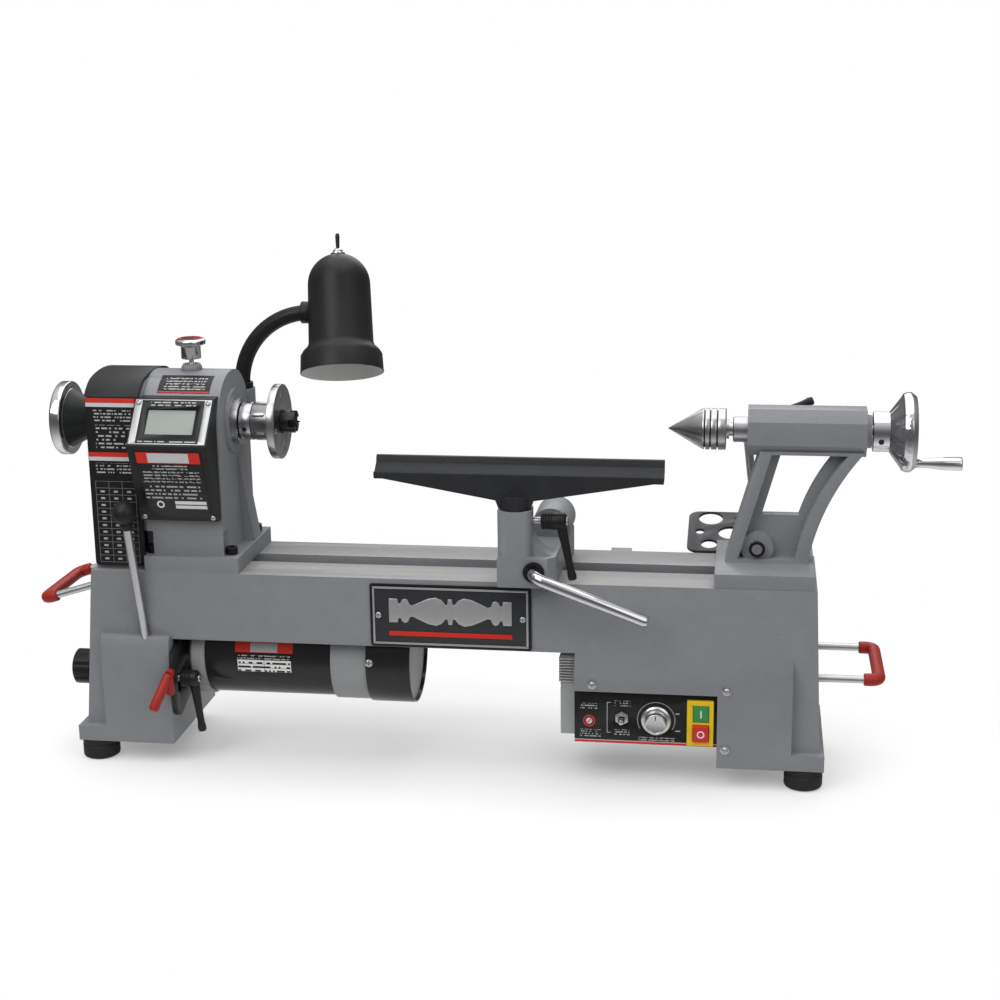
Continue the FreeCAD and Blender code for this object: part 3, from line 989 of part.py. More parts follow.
def build_tool_rest():
    """Banjo with its clamp and cam shaft, the rest's post and the tool rest."""
    plate = block("clamp_plate", ("clamp_x - 24", "clamp_x + 24"), ("-38", "38"),
                  ("-way_thick - 10", "-way_thick - 0.4"))
    hole = rod("clamp_hole", "Z", "6.06", ("-way_thick - 11", "0"), ("clamp_x", "0"))
    finish("banjo_clamp_plate", cut("clamp", plate, [hole]))
    bolt = rod("eye_shank", "Z", "6", ("-way_thick - 16", "shaft_up - 9"), ("clamp_x", "0"))
    nut = rod("eye_nut", "Z", "10", ("-way_thick - 18", "-way_thick - 10.3"), ("clamp_x", "0"))
    eye = rod("eye_ring", "Y", "12", ("-7", "7"), ("clamp_x", "shaft_up"))
    eye_hole = rod("eye_hole", "Y", "cam_radius + 0.08", ("-8", "8"), ("clamp_x", "shaft_up"))
    finish("banjo_eyebolt", cut("eyebolt", fused("eye_whole", [bolt, nut, eye]), [eye_hole]))

    foot = extruded("banjo_foot", "XY", (
        ("banjo_left", "banjo_front"), ("banjo_right - 8", "banjo_front"),
        ("banjo_right", "banjo_front + 8"),
        ("banjo_right", "-8"), ("banjo_right + 6", "banjo_back - 12"), ("banjo_right - 6", "banjo_back"),
        ("banjo_left + 14", "banjo_back"), ("banjo_left", "banjo_back - 14")), "0.3", "banjo_height")
    column = extruded("banjo_column", "XY", round_box("banjo_left", "banjo_left + 2 * column_radius",
                                                      "banjo_front",
                                                      "banjo_front + 2 * column_radius", "9"), "0.3",
                                                      "column_top")
    hump = rod("banjo_hump", "Y", "hump_radius", ("hump_front", "banjo_back - 6"),
               ("clamp_x + 8", "hump_up"))
    gusset = extruded("banjo_gusset", "XZ", (
        ("banjo_left + 2 * column_radius - 2", "banjo_height - 1"),
        ("banjo_right - 2", "banjo_height - 1", "-40"),
        ("banjo_left + 2 * column_radius - 2", "banjo_height + 26")), "banjo_front + 10",
        "banjo_front + 32")
    cavity = block("banjo_cavity", ("clamp_x - 12.6", "clamp_x + 12.6"), ("-44", "44"),
                   ("0", "shaft_up + 13"))
    cam_bore = rod("banjo_cam_bore", "Y", "cam_radius + 0.08", ("banjo_front - 1", "banjo_back + 1"),
                   ("clamp_x", "shaft_up"))
    post_bore = rod("banjo_post_bore", "Z", "post_radius + 0.08", ("10", "column_top + 1"),
                    ("post_x", "post_front"))
    lock_bore = rod("banjo_lock_bore", "X", "lever_stud + 0.06",
                    ("post_x + post_radius - 4", "banjo_right"), ("post_front", "lock_up"))
    finish("banjo", cut("banjo_casting", fused("banjo_body", [foot, column, hump, gusset]),
                        [cavity, cam_bore, post_bore, lock_bore]))

    shaft = rod("cam_shaft", "Y", "cam_radius", ("-cam_reach + 12", "banjo_back + 4"),
                ("clamp_x", "shaft_up"))
    neck = strut("cam_neck", "lever_rod", ("clamp_x", "-cam_reach + 14", "shaft_up"),
                 ("clamp_x + 9", "-cam_reach", "shaft_up - 4.8"))
    elbow = ball("cam_elbow", "lever_rod", "clamp_x + 9", "-cam_reach", "shaft_up - 4.8")
    handle = strut("cam_handle", "lever_rod", ("clamp_x + 9", "-cam_reach", "shaft_up - 4.8"),
                   ("lever_end_x", "-cam_reach", "lever_end_up"))
    finish("banjo_lever", fused("cam_lever", [shaft, neck, elbow, handle]))

    finish("tool_rest_post", rod("rest_post", "Z", "post_radius", ("14", "column_top + 6"),
                                 ("post_x", "post_front")))
    shelf = extruded("rest_shelf", "YZ", (
        ("post_front + 14", "rest_top"), ("post_front + 9", "rest_top"), ("post_front + 7", "rest_top - 7"),
        ("post_front - 7", "rest_top - 17"), ("post_front - 7", "rest_top - 21"),
        ("post_front + 2", "rest_top - 20"),
        ("post_front + 14", "rest_top - 12")), "rest_left", "rest_right")
    web = extruded("rest_web", "XZ", (
        ("rest_left", "rest_top - 14"), ("rest_left", "rest_top - 19"),
        ("post_x - column_radius - 2", "rest_top - 41"),
        ("post_x - column_radius + 1", "column_top + 2"), ("post_x - 8", "column_top + 0.4"),
        ("post_x + 8", "column_top + 0.4"), ("post_x + column_radius - 1", "column_top + 2"),
        ("post_x + column_radius + 2", "rest_top - 41"), ("rest_right", "rest_top - 19"),
        ("rest_right", "rest_top - 14")),
        "post_front - 8.5", "post_front + 9")
    boss = rod("rest_boss", "Z", "column_radius - 1", ("column_top + 0.4", "column_top + 14"),
               ("post_x", "post_front"))
    socket = rod("rest_socket", "Z", "post_radius + 0.08", ("column_top", "column_top + 6.3"),
                 ("post_x", "post_front"))
    finish("tool_rest", cut("rest", fused("rest_whole", [shelf, web, boss]), [socket]))


def build_tailstock():
    """Tailstock casting, its clamp and lever, quill with the live centre's arbor, handwheel and crank."""
    rib_top = "swing_radius - house_top + 5"
    crown_foot = "swing_radius - house_top + 2"
    ribs = extruded("tail_ribs", "XZ", (
        ("tail_left + 9", "tail_base - 2"), ("tail_right - 7", "tail_base - 2", "-240"),
        ("house_right - 2", rib_top),
        ("house_left + 13", rib_top)), "-rib_half", "rib_half")
    window = extruded("tail_window", "XZ", (
        ("cam_x + 4", "64"), ("cam_x + 42", "64", "-200"),
        ("house_right - 33", "swing_radius - house_top - 1"),
        ("house_left + 34", "swing_radius - house_top - 1")), "-rib_half - 1", "rib_half + 1")
    panels = [extruded("tail_panel_%d" % index, "XZ", (
        ("tail_left + 23", "tail_base + 4"), ("tail_right - 20", "tail_base + 4", "-225"),
        ("house_right - 18", crown_foot), ("house_left + 25", crown_foot)), low, high)
        for index, (low, high) in enumerate((("-rib_half - 1", "-web_half"), ("web_half", "rib_half + 1")))]
    cam_boss = rod("tail_cam_boss", "Y", "17", ("-rib_half + 6", "rib_half"), ("cam_x", "cam_up"))
    house = extruded("tail_house", "YZ", (
        ("-house_facet", "swing_radius - house_top"), ("house_facet", "swing_radius - house_top"),
        ("house_half", "swing_radius - house_facet"), ("house_half", "swing_radius + house_facet"),
        ("house_facet", "swing_radius + house_top"), ("-house_facet", "swing_radius + house_top"),
        ("-house_half", "swing_radius + house_facet"), ("-house_half", "swing_radius - house_facet")),
        "house_left", "house_right")
    base = block("tail_foot", ("tail_left", "tail_right"), ("-bed_half", "bed_half"), ("0.3", "tail_base"))
    tongue = block("tail_tongue", ("tail_left + 6", "slot_right - 6"),
                   ("-slot_half + 0.4", "slot_half - 0.4"), ("-6", "1"))
    nose = rod("tail_nose", "X", "house_half - 5", ("house_right - 1", "house_right + 5"),
               ("0", "swing_radius"))
    framed = cut("tail_framed", ribs, [window] + panels)
    body = fused("tail_body", [framed, cam_boss, house, base, tongue, nose])
    bores = [rod("tail_quill_bore", "X", "quill_radius + 0.08", ("house_left - 1", "quill_back + 16"),
                 ("0", "swing_radius")),
             rod("tail_screw_bore", "X", "screw_radius + 0.08", ("house_left", "house_right + 6"),
                 ("0", "swing_radius")),
             rod("tail_cam_bore", "Y", "cam_radius + 0.08", ("-bed_half", "bed_half"), ("cam_x", "cam_up")),
             rod("tail_bolt_bore", "Z", "tail_bolt + 0.3", ("-7", "cam_up - cam_radius"), ("cam_x", "0")),
             rod("tail_lock_bore", "Y", "lever_stud + 0.06", ("quill_radius - 2", "house_half + 1"),
                 ("quill_lock_x", "swing_radius"))]
    finish("tailstock", cut("tail_casting", body, bores))

    bolt = rod("tail_clamp_bolt", "Z", "tail_bolt", ("-way_thick - 14", "cam_up - cam_radius - 0.4"),
               ("cam_x", "0"))
    plate = block("tail_clamp_plate", ("cam_x - 22", "cam_x + 22"), ("-36", "36"),
                  ("-way_thick - 10", "-way_thick - 0.4"))
    finish("tailstock_clamp", fused("tail_clamp", [bolt, plate]))
    shaft = rod("tail_cam", "Y", "cam_radius", ("-rib_half - 2", "lamp_back - 14"), ("cam_x", "cam_up"))
    arm = strut("tail_clamp_arm", "lever_stud + 0.5", ("cam_x", "lamp_back - 20", "cam_up"),
                ("clamp_rod_x", "lamp_back - 20", "clamp_rod_up"))
    knob = ball("tail_clamp_knob", "7", "clamp_rod_x", "lamp_back - 20", "clamp_rod_up")
    finish("tailstock_clamp_lever", fused("tail_clamp_lever", [shaft, arm, knob]))

    barrel = turned("quill_barrel", (
        ("quill_front", "7.5"), ("quill_front + 60", "7.5"), ("quill_front + 60", "screw_radius + 0.2"),
        ("quill_back", "screw_radius + 0.2"),
        ("quill_back", "quill_radius"), ("quill_front + 1", "quill_radius"),
        ("quill_front", "quill_radius - 1")))
    arbor = turned("centre_arbor", (
        ("cone_end + 6", 0), ("cone_end + 6", "5.9"), ("centre_end + 0.5", "5.9"),
        ("centre_end + 0.5", "neck_radius + 3"), ("centre_end + 3", "neck_radius + 3"),
        ("centre_end + 3", "neck_radius"), ("quill_front + 0.1", "neck_radius"),
        ("quill_front + 50", "neck_radius"), ("quill_front + 50", 0)))
    finish("quill", group("quill_set", [barrel, arbor]))
    finish("live_centre", turned("centre_head", (
        ("cone_tip", 0), ("cone_end", "centre_radius - 1.5"), ("cone_end + 2", "centre_radius"),
        ("cone_end + 9", "centre_radius"), ("cone_end + 9", "centre_radius - 1.2"),
        ("cone_end + 11", "centre_radius - 1.2"), ("cone_end + 11", "centre_radius"),
        ("centre_end", "centre_radius"), ("centre_end", "5.95"), ("cone_end + 5.8", "5.95"),
        ("cone_end + 5.8", 0))))
    wheel = turned("hand_wheel", (
        ("hand_hub_start", 0), ("hand_hub_start", "hand_hub"), ("hand_hub_end", "hand_hub"),
        ("hand_rim_start - 1", "hand_radius - 5"),
        ("hand_rim_start + 1", "hand_radius - 1.5"), ("hand_rim_start + 5", "hand_radius"),
        ("hand_rim_end - 5", "hand_radius"), ("hand_rim_end", "hand_radius - 4"),
        ("hand_rim_end", "hand_radius - 13"), ("hand_rim_start + 2", "hand_radius - 16"),
        ("hand_hub_end + 2", "hand_hub - 8"), ("hand_hub_end + 4", 0)))
    screw_bar = rod("hand_screw", "X", "screw_radius", ("quill_front + 64", "hand_hub_start + 1"),
                    ("0", "swing_radius"))
    crank_hole = rod("hand_crank_hole", "X", "3.06", ("hand_rim_start - 6", "hand_rim_end + 1"),
                     ("0", "swing_radius - crank_drop"))
    finish("tailstock_handwheel", cut("hand", fused("hand_whole", [wheel, screw_bar]), [crank_hole]))
    finish("crank_handle", turned("crank", (
        ("hand_rim_end - 12", 0), ("hand_rim_end - 12", "3"), ("hand_rim_end + 0.5", "3"),
        ("hand_rim_end + 0.5", "5"), ("crank_start + 16", "5"), ("crank_start + 30", "6.6"),
        ("crank_end - 1", "7"), ("crank_end", "6"), ("crank_end", 0)), z="swing_radius - crank_drop"))


def build_rack():
    """Tilted tool rack behind the bed: a bent sheet with round holes."""
    sheet_part = extruded("rack_sheet", "XY", round_box("0", "rack_right - rack_left", "0", "rack_depth",
                                                        "12"), "0", "rack_thick")
    holes = [rod("rack_hole_%d" % index, "Z", str(radius), ("-1", "rack_thick + 1"), (str(x), str(y)))
             for index, (x, y, radius) in enumerate(RACK_HOLES)]
    flange = block("rack_flange", ("10", "rack_right - rack_left - 10"), ("0", "rack_thick"), ("-24", "0"))
    shelf = cut("rack_shelf", sheet_part, holes)
    move(shelf, "rack_left", "bed_half + 1.3", "-0.6", Rotation(Vector(1, 0, 0), value("rack_tilt")))
    move(flange, "rack_left + 10", "bed_half", "-24", None)
    finish("tool_rack", fused("rack", [shelf, flange]))


def main():
    """Build every sub-part, test it, and write one STEP file for each."""
    build_bed()
    build_feet()
    build_bolts()
    build_front_plates()
    build_headstock()
    build_belt_covers()
    build_readout()
    build_spindle()
    build_belt()
    build_index_pin()
    build_motor()
    build_levers()
    build_access()
    build_handles()
    build_controls()
    build_lamp()
    build_tool_rest()
    build_tailstock()
    build_rack()
    doc.recompute()
    bad = [item.Name for item in doc.Objects if "Invalid" in item.State or "Error" in item.State]
    for node, item in NODES.items():
        shape = getattr(item, "Shape", None)
        if shape is None or shape.isNull() or not shape.isValid() or item.Label != node:
            bad.append(node)
    if bad:
        raise RuntimeError("failed: " + ", ".join(bad))
    os.makedirs("parts", exist_ok=True)
    for old in os.listdir("parts"):
        os.remove(os.path.join("parts", old))
    whole = FreeCAD.BoundBox()
    for node, item in NODES.items():
        item.Shape.exportStep("parts/%s.step" % node)
        whole.add(item.Shape.BoundBox)
    print("%d sub-parts; x %.2f to %.2f, y %.2f to %.2f, z %.2f to %.2f" % (
        len(NODES), whole.XMin, whole.XMax, whole.YMin, whole.YMax, whole.ZMin, whole.ZMax))


main()
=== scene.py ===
"""Bench-top wood-turning lathe: finishes and detailed pieces on the machine's own moving bodies."""

import json
import logging
import math
from dataclasses import dataclass, field
from enum import Enum
from functools import lru_cache
from typing import Callable, Sequence

import bpy
from mathutils import Matrix, Vector


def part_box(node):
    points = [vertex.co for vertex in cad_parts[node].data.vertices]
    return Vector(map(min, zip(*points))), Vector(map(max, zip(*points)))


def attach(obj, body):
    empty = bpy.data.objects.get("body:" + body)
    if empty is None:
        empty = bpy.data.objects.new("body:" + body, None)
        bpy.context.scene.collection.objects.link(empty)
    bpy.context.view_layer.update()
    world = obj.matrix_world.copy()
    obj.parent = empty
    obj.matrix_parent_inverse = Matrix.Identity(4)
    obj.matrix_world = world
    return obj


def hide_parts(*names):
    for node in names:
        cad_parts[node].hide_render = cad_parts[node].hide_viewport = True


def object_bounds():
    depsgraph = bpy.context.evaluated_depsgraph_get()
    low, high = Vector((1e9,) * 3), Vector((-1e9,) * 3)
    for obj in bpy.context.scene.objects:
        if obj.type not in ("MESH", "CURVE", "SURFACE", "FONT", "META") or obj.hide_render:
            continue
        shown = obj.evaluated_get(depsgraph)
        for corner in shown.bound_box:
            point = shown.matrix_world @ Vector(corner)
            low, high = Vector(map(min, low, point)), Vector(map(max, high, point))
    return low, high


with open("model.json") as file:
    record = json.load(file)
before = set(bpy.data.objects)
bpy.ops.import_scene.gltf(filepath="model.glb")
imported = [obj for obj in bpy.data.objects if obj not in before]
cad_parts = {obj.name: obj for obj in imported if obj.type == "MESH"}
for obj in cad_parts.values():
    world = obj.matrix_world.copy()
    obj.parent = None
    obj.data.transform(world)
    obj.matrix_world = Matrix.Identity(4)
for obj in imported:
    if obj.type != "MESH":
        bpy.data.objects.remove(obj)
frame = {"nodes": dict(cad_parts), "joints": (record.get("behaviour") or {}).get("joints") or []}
CAD_BOX = [list(corner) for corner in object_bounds()]

LOG = logging.getLogger("lathe")
MM = 0.001
SMOOTH_ANGLE = math.radians(32)
Colour = tuple[float, float, float]
Point = tuple[float, float, float]


class Axis(Enum):
    """Directions that parts of the machine lie along."""

    RIGHT = (1.0, 0.0, 0.0)
    LEFT = (-1.0, 0.0, 0.0)
    BACK = (0.0, 1.0, 0.0)
    FRONT = (0.0, -1.0, 0.0)
    UP = (0.0, 0.0, 1.0)

    @property
    def vector(self) -> Vector:
        """The direction as a Vector."""
        return Vector(self.value)


def joint_point(name: str) -> Vector:
    """Place of a joint's pivot in the row frame."""
    return Vector(next(joint["pos_m"] for joint in frame["joints"] if joint["name"] == name))


@dataclass(frozen=True)
class Datum:
    """Machine datum: the bed's left end, the spindle's plane and the top of the ways, in metres."""

    swing: float = 152.4
    head_start: float = 4.0

    @property
    def origin(self) -> Vector:
        """The datum point in the row frame."""
        spindle = joint_point("spindle_spin")
        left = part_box("headstock")[0].x - self.head_start * MM
        return Vector((left, spindle.y, spindle.z - self.swing * MM))

    def at(self, x: float, y: float, z: float) -> Vector:
        """Point in the row frame, in metres, from millimetres off the datum."""
        return self.origin + Vector((x, y, z)) * MM


DATUM = Datum()
ORIGIN = DATUM.origin


def at(x: float, y: float, z: float) -> Vector:
    """Point in the row frame, in metres, from millimetres off the machine's datum."""
    return ORIGIN + Vector((x, y, z)) * MM


class Wire:
    """A number that varies over a surface; Python's operators add the Math nodes that work on it."""

    def __init__(self, graph: "Graph", socket: bpy.types.NodeSocket) -> None:
        """Wrap a node's output socket."""
        self.graph = graph
        self.socket = socket

    def math(self, operation: str, first: "Wire | float",
             second: "Wire | float | None" = None) -> "Wire":
        """Add a Math node.

        Args:
            operation: the node's operation.
            first: its first value.
            second: its second value, for operations that have one.

        Returns:
            The result.
        """
        values = {0: first} if second is None else {0: first, 1: second}
        return Wire(self.graph, self.graph.node("ShaderNodeMath", {"operation": operation},
                                                values).outputs[0])

    def __add__(self, other: "Wire | float") -> "Wire":
        """Sum."""
        return self.math("ADD", self, other)

    __radd__ = __add__

    def __sub__(self, other: "Wire | float") -> "Wire":
        """Difference."""
        return self.math("SUBTRACT", self, other)

    def __rsub__(self, other: float) -> "Wire":
        """Difference from a number."""
        return self.math("SUBTRACT", other, self)

    def __mul__(self, other: "Wire | float") -> "Wire":
        """Product."""
        return self.math("MULTIPLY", self, other)

    __rmul__ = __mul__

    def __mod__(self, other: float) -> "Wire":
        """Remainder, never negative."""
        return self.math("FLOORED_MODULO", self, other)

    def __pow__(self, other: float) -> "Wire":
        """Power."""
        return self.math("POWER", self, other)

    def __gt__(self, other: "Wire | float") -> "Wire":
        """One where greater, else nought."""
        return self.math("GREATER_THAN", self, other)

    def __lt__(self, other: "Wire | float") -> "Wire":
        """One where less, else nought."""
        return self.math("LESS_THAN", self, other)

    def __abs__(self) -> "Wire":
        """Size without sign."""
        return self.math("ABSOLUTE", self)

    def either(self, other: "Wire | float") -> "Wire":
        """The larger of two."""
        return self.math("MAXIMUM", self, other)


class Graph:
    """Node tree of one material; its coordinates are millimetres off the machine's datum."""

    def __init__(self, name: str) -> None:
        """Start a material with its Principled shader and its coordinates."""
        self.material = bpy.data.materials.new(name)
        self.material.use_nodes = True
        self.tree = self.material.node_tree
        self.surface = self.tree.nodes["Principled BSDF"]
        found = self.node("ShaderNodeTexCoord").outputs["Object"]
        moved = self.node("ShaderNodeVectorMath", {"operation": "SUBTRACT"},
                          {0: found, 1: tuple(ORIGIN)})
        grown = self.node("ShaderNodeVectorMath", {"operation": "SCALE"},
                          {0: moved.outputs[0], "Scale": 1 / MM})
        self.place = grown.outputs[0]
        split = self.node("ShaderNodeSeparateXYZ", {}, {0: self.place})
        self.x, self.y, self.z = (Wire(self, output) for output in split.outputs)

    def node(self, kind: str, settings: dict | None = None,
             values: dict | None = None) -> bpy.types.Node:
        """Add a node.

        Args:
            kind: the node's type.
            settings: its properties, and a colour ramp's stops.
            values: a number, colour, Wire or socket for each of its inputs.

        Returns:
            The node.
        """
        made = self.tree.nodes.new(kind)
        for key, setting in (settings or {}).items():
            setattr(made, key, setting)
        for key, given in (values or {}).items():
            socket = made.inputs[key]
            if isinstance(given, Wire):
                self.tree.links.new(given.socket, socket)
            elif isinstance(given, bpy.types.NodeSocket):
                self.tree.links.new(given, socket)
            else:
                socket.default_value = given
        return made

    def feed(self, name: str, given: "Wire | bpy.types.NodeSocket | float | tuple") -> None:
        """Set or link an input of the Principled shader."""
        socket = self.surface.inputs[name]
        if isinstance(given, Wire):
            self.tree.links.new(given.socket, socket)
        elif isinstance(given, bpy.types.NodeSocket):
            self.tree.links.new(given, socket)
        else:
            socket.default_value = given

    def noise(self, size: float, detail: float = 3.0, stretch: Point = (1, 1, 1)) -> Wire:
        """Cloudy noise whose features are about size millimetres, drawn out along the axes by stretch."""
        scale = tuple(1 / (size * share) for share in stretch)
        spread = self.node("ShaderNodeVectorMath", {"operation": "MULTIPLY"}, {0: self.place, 1: scale})
        made = self.node("ShaderNodeTexNoise", {}, {"Vector": spread.outputs[0], "Scale": 1.0,
                                                    "Detail": detail})
        return Wire(self, made.outputs["Fac"])

    def cells(self, size: float) -> Wire:
        """Distance to the nearest of scattered points about size millimetres apart: rounded pits."""
        made = self.node("ShaderNodeTexVoronoi", {"feature": "SMOOTH_F1"},
                         {"Vector": self.place, "Scale": 1 / size, "Smoothness": 0.6})
        return Wire(self, made.outputs["Distance"])

    def rings(self, centre: Point, pitch: float) -> Wire:
        """Fine turned grooves about a line along X through centre, and along the line."""
        away = self.node("ShaderNodeVectorMath", {"operation": "SUBTRACT"}, {0: self.place, 1: centre})
        flat = self.node("ShaderNodeVectorMath", {"operation": "MULTIPLY"},
                         {0: away.outputs[0], 1: (0, 1, 1)})
        radius = Wire(self, self.node("ShaderNodeVectorMath", {"operation": "LENGTH"},
                                      {0: flat.outputs[0]}).outputs["Value"])
        spread = self.node("ShaderNodeCombineXYZ", {},
                           {0: self.x * (1 / pitch), 1: radius * (1 / pitch), 2: 0.0})
        made = self.node("ShaderNodeTexNoise", {}, {"Vector": spread.outputs[0], "Scale": 1.0,
                                                    "Detail": 2.0})
        return Wire(self, made.outputs["Fac"])

    def rect(self, across: Wire, along: Wire, low: tuple[float, float],
             high: tuple[float, float]) -> Wire:
        """One inside a rectangle of two coordinates, else nought."""
        return (across > low[0]) * (across < high[0]) * (along > low[1]) * (along < high[1])

    def blend(self, mask: "Wire | float", under: object, over: object) -> bpy.types.NodeSocket:
        """Lay one colour over another where mask is one."""
        made = self.node("ShaderNodeMix", {"data_type": "RGBA"},
                         {0: mask, 6: solid(under), 7: solid(over)})
        return made.outputs[2]

    def relief(self, height: Wire, depth: float) -> None:
        """Give the surface a bump of depth millimetres."""
        made = self.node("ShaderNodeBump", {}, {"Strength": 1.0, "Distance": depth * MM,
                                                "Height": height})
        self.feed("Normal", made.outputs["Normal"])


BED_MIDDLE: float = 380.0
FADE_ALONG: float = 0.45
FADE_ACROSS: float = 1.6
HORIZON: float = 0.15
ZENITH: float = 1.1


class Ground(Graph):
    """Material of the floor: white near the feet, and fading away round the machine."""

    def __init__(self, reach: float) -> None:
        """Paint the floor.

        Args:
            reach: radius in millimetres at which the floor has faded away.
        """
        super().__init__("floor_white")
        self.feed("Base Color", (0.92, 0.92, 0.92, 1))
        self.feed("Roughness", 0.9)
        self.feed("Specular IOR Level", 0.0)
        along = self.x - BED_MIDDLE
        out = (along * along * FADE_ALONG + self.y * self.y * FADE_ACROSS) * (1 / reach ** 2)
        self.feed("Alpha", (1 - out).either(0.0) ** 1.5)


class Sky(Graph):
    """The studio's world: dim at eye level, bright overhead, and plain white where it is seen."""

    def __init__(self, world: bpy.types.World) -> None:
        """Light the world."""
        world.use_nodes = True
        self.tree = world.node_tree
        self.surface = self.tree.nodes["Background"]
        found = self.node("ShaderNodeTexCoord").outputs["Generated"]
        split = self.node("ShaderNodeSeparateXYZ", {}, {0: found})
        height = Wire(self, split.outputs[2])
        seen = Wire(self, self.node("ShaderNodeLightPath").outputs["Is Camera Ray"])
        self.feed("Color", (1, 1, 1, 1))
        self.feed("Strength", seen + (1 - seen) * (height * height * ZENITH + HORIZON))


def solid(colour: object) -> object:
    """A colour's four numbers, or its socket as it is."""
    return (*colour, 1.0) if isinstance(colour, tuple) and len(colour) == 3 else colour


SHEEN: float = 0.2


@dataclass(frozen=True)
class Finish:
    """A plain finish: its colour, gloss and the texture that breaks both up."""

    name: str
    slot: str
    colour: Colour
    roughness: float = 0.5
    metallic: float = 0.0
    coat: float = 0.0
    grain: float = 1.2
    depth: float = 0.02
    mottle: float = 0.10
    gloss_change: float = 0.12

    def height(self, graph: Graph) -> Wire:
        """Height of the surface's own texture."""
        return graph.noise(self.grain, 4.0)

    def artwork(self, graph: Graph, colour: object) -> object:
        """Colour after anything printed or painted on the finish."""
        return colour

    def build(self) -> bpy.types.Material:
        """Make the material."""
        graph = Graph(self.name)
        clouds = graph.noise(self.grain * 14, 5.0)
        dark = tuple(part * (1 - self.mottle) for part in self.colour)
        light = tuple(min(part * (1 + self.mottle) + 0.004, 1.0) for part in self.colour)
        graph.feed("Base Color", self.artwork(graph, graph.blend(clouds, dark, light)))
        graph.feed("Roughness", clouds * self.gloss_change + (self.roughness - self.gloss_change / 2))
        graph.feed("Metallic", self.metallic)
        graph.feed("Coat Weight", self.coat)
        graph.feed("Specular IOR Level", SHEEN + (0.5 - SHEEN) * self.metallic)
        graph.relief(self.height(graph), self.depth)
        self.extra(graph)
        return graph.material

    def extra(self, graph: Graph) -> None:
        """Anything else that the finish sets on the shader."""


@dataclass(frozen=True)
class CastPaint(Finish):
    """Grey enamel over a sand casting: orange peel, fine pits, and ground ways on the bed's top."""

    ground: bool = False
    ground_colour: Colour = (0.3, 0.3, 0.3)

    def height(self, graph: Graph) -> Wire:
        """Orange peel with fine pits in it."""
        peel = graph.cells(self.grain * 1.7) * 0.6 + graph.noise(self.grain * 0.7, 3.0) * 0.7
        return peel + graph.noise(22, 2.0) * 1.6

    def artwork(self, graph: Graph, colour: object) -> object:
        """Bare ground iron along the ways."""
        if not self.ground:
            return colour
        scratch = graph.noise(0.5, 3.0, (40, 1, 1))
        iron = graph.blend(scratch, tuple(part * 0.86 for part in self.ground_colour),
                           self.ground_colour)
        return graph.blend((graph.z > -0.15) * (graph.z < 0.5), colour, iron)


@dataclass(frozen=True)
class TurnedMetal(Finish):
    """Metal finished in a lathe: fine grooves round an axis."""

    centre: Point = (0.0, 0.0, 152.4)
    pitch: float = 0.35

    def height(self, graph: Graph) -> Wire:
        """Turned grooves."""
        return graph.rings(self.centre, self.pitch)


@dataclass(frozen=True)
class DrawnMetal(Finish):
    """Drawn or brushed bar: scratches along one axis."""

    stretch: Point = (30.0, 1.0, 1.0)

    def height(self, graph: Graph) -> Wire:
        """Long fine scratches."""
        return graph.noise(self.grain * 0.4, 3.0, self.stretch)


WHITE: Colour = (0.78, 0.78, 0.76)
SILVER: Colour = (0.55, 0.56, 0.57)
PRINT: Colour = (0.42, 0.42, 0.42)
FAINT: Colour = (0.2, 0.2, 0.2)
RED: Colour = (0.62, 0.03, 0.02)
INK: Colour = (0.012, 0.012, 0.013)


def print_rows(graph: Graph, across: Wire, along: Wire, low: tuple[float, float],
               high: tuple[float, float],
               pitch: float, word: float = 1.6) -> Wire:
    """Rows of small broken dashes that stand for fine print without lettering.

    Args:
        graph: the material's graph.
        across: coordinate along a row.
        along: coordinate across the rows.
        low: lowest corner of the printed area.
        high: highest corner of the printed area.
        pitch: distance from row to row, in millimetres.
        word: length of a dash.

    Returns:
        The mask.
    """
    rows = ((along - low[1]) % pitch) < pitch * 0.42
    spread = graph.node("ShaderNodeCombineXYZ", {}, {0: across * (1 / word), 1: along * (1 / pitch),
                                                     2: 0.0})
    dots = graph.node("ShaderNodeTexWhiteNoise", {"noise_dimensions": "2D"},
                      {"Vector": snapped(graph, spread.outputs[0])})
    return rows * (Wire(graph, dots.outputs["Value"]) > 0.36) * graph.rect(across, along, low, high)


def snapped(graph: Graph, vector: bpy.types.NodeSocket) -> bpy.types.NodeSocket:
    """A vector rounded down to whole numbers."""
    return graph.node("ShaderNodeVectorMath", {"operation": "FLOOR"}, {0: vector}).outputs[0]


@dataclass(frozen=True)
class CoverPrint(Finish):
    """Belt cover: black enamel with two red and silver bands and a blank chart of speeds."""

    def artwork(self, graph: Graph, colour: object) -> object:
        """Bands, rows of dashes and the chart's grid."""
        front = graph.y < -58.5
        x, z = graph.x, graph.z
        for top in (186.5, 128.5):
            colour = graph.blend(front * graph.rect(x, z, (5, top - 4.6), (62, top)), colour, RED)
            colour = graph.blend(front * graph.rect(x, z, (5, top - 9.2), (62, top - 4.9)), colour,
                                 SILVER)
        words = print_rows(graph, x, z, (13, 162), (54, 174), 3.6, 1.4).either(
            print_rows(graph, x, z, (14, 133), (58, 158), 4.1, 2.1)).either(
            print_rows(graph, x, z, (12, 106), (56, 117), 3.6, 1.4))
        colour = graph.blend(front * words, colour, PRINT)
        lines = (((x - 10) % 14.6) < 0.5).either(((z - 8) % 7.4) < 0.5)
        colour = graph.blend(front * lines * graph.rect(x, z, (10, 8), (54.3, 97.2)), colour, FAINT)
        column, row = (x - 10) % 14.6, (z - 8) % 7.4
        cells = (column > 5.2) * (column < 9.8) * (row > 2.8) * (row < 4.9)
        return graph.blend(front * cells * graph.rect(x, z, (10, 8), (54.3, 89.4)), colour, PRINT)


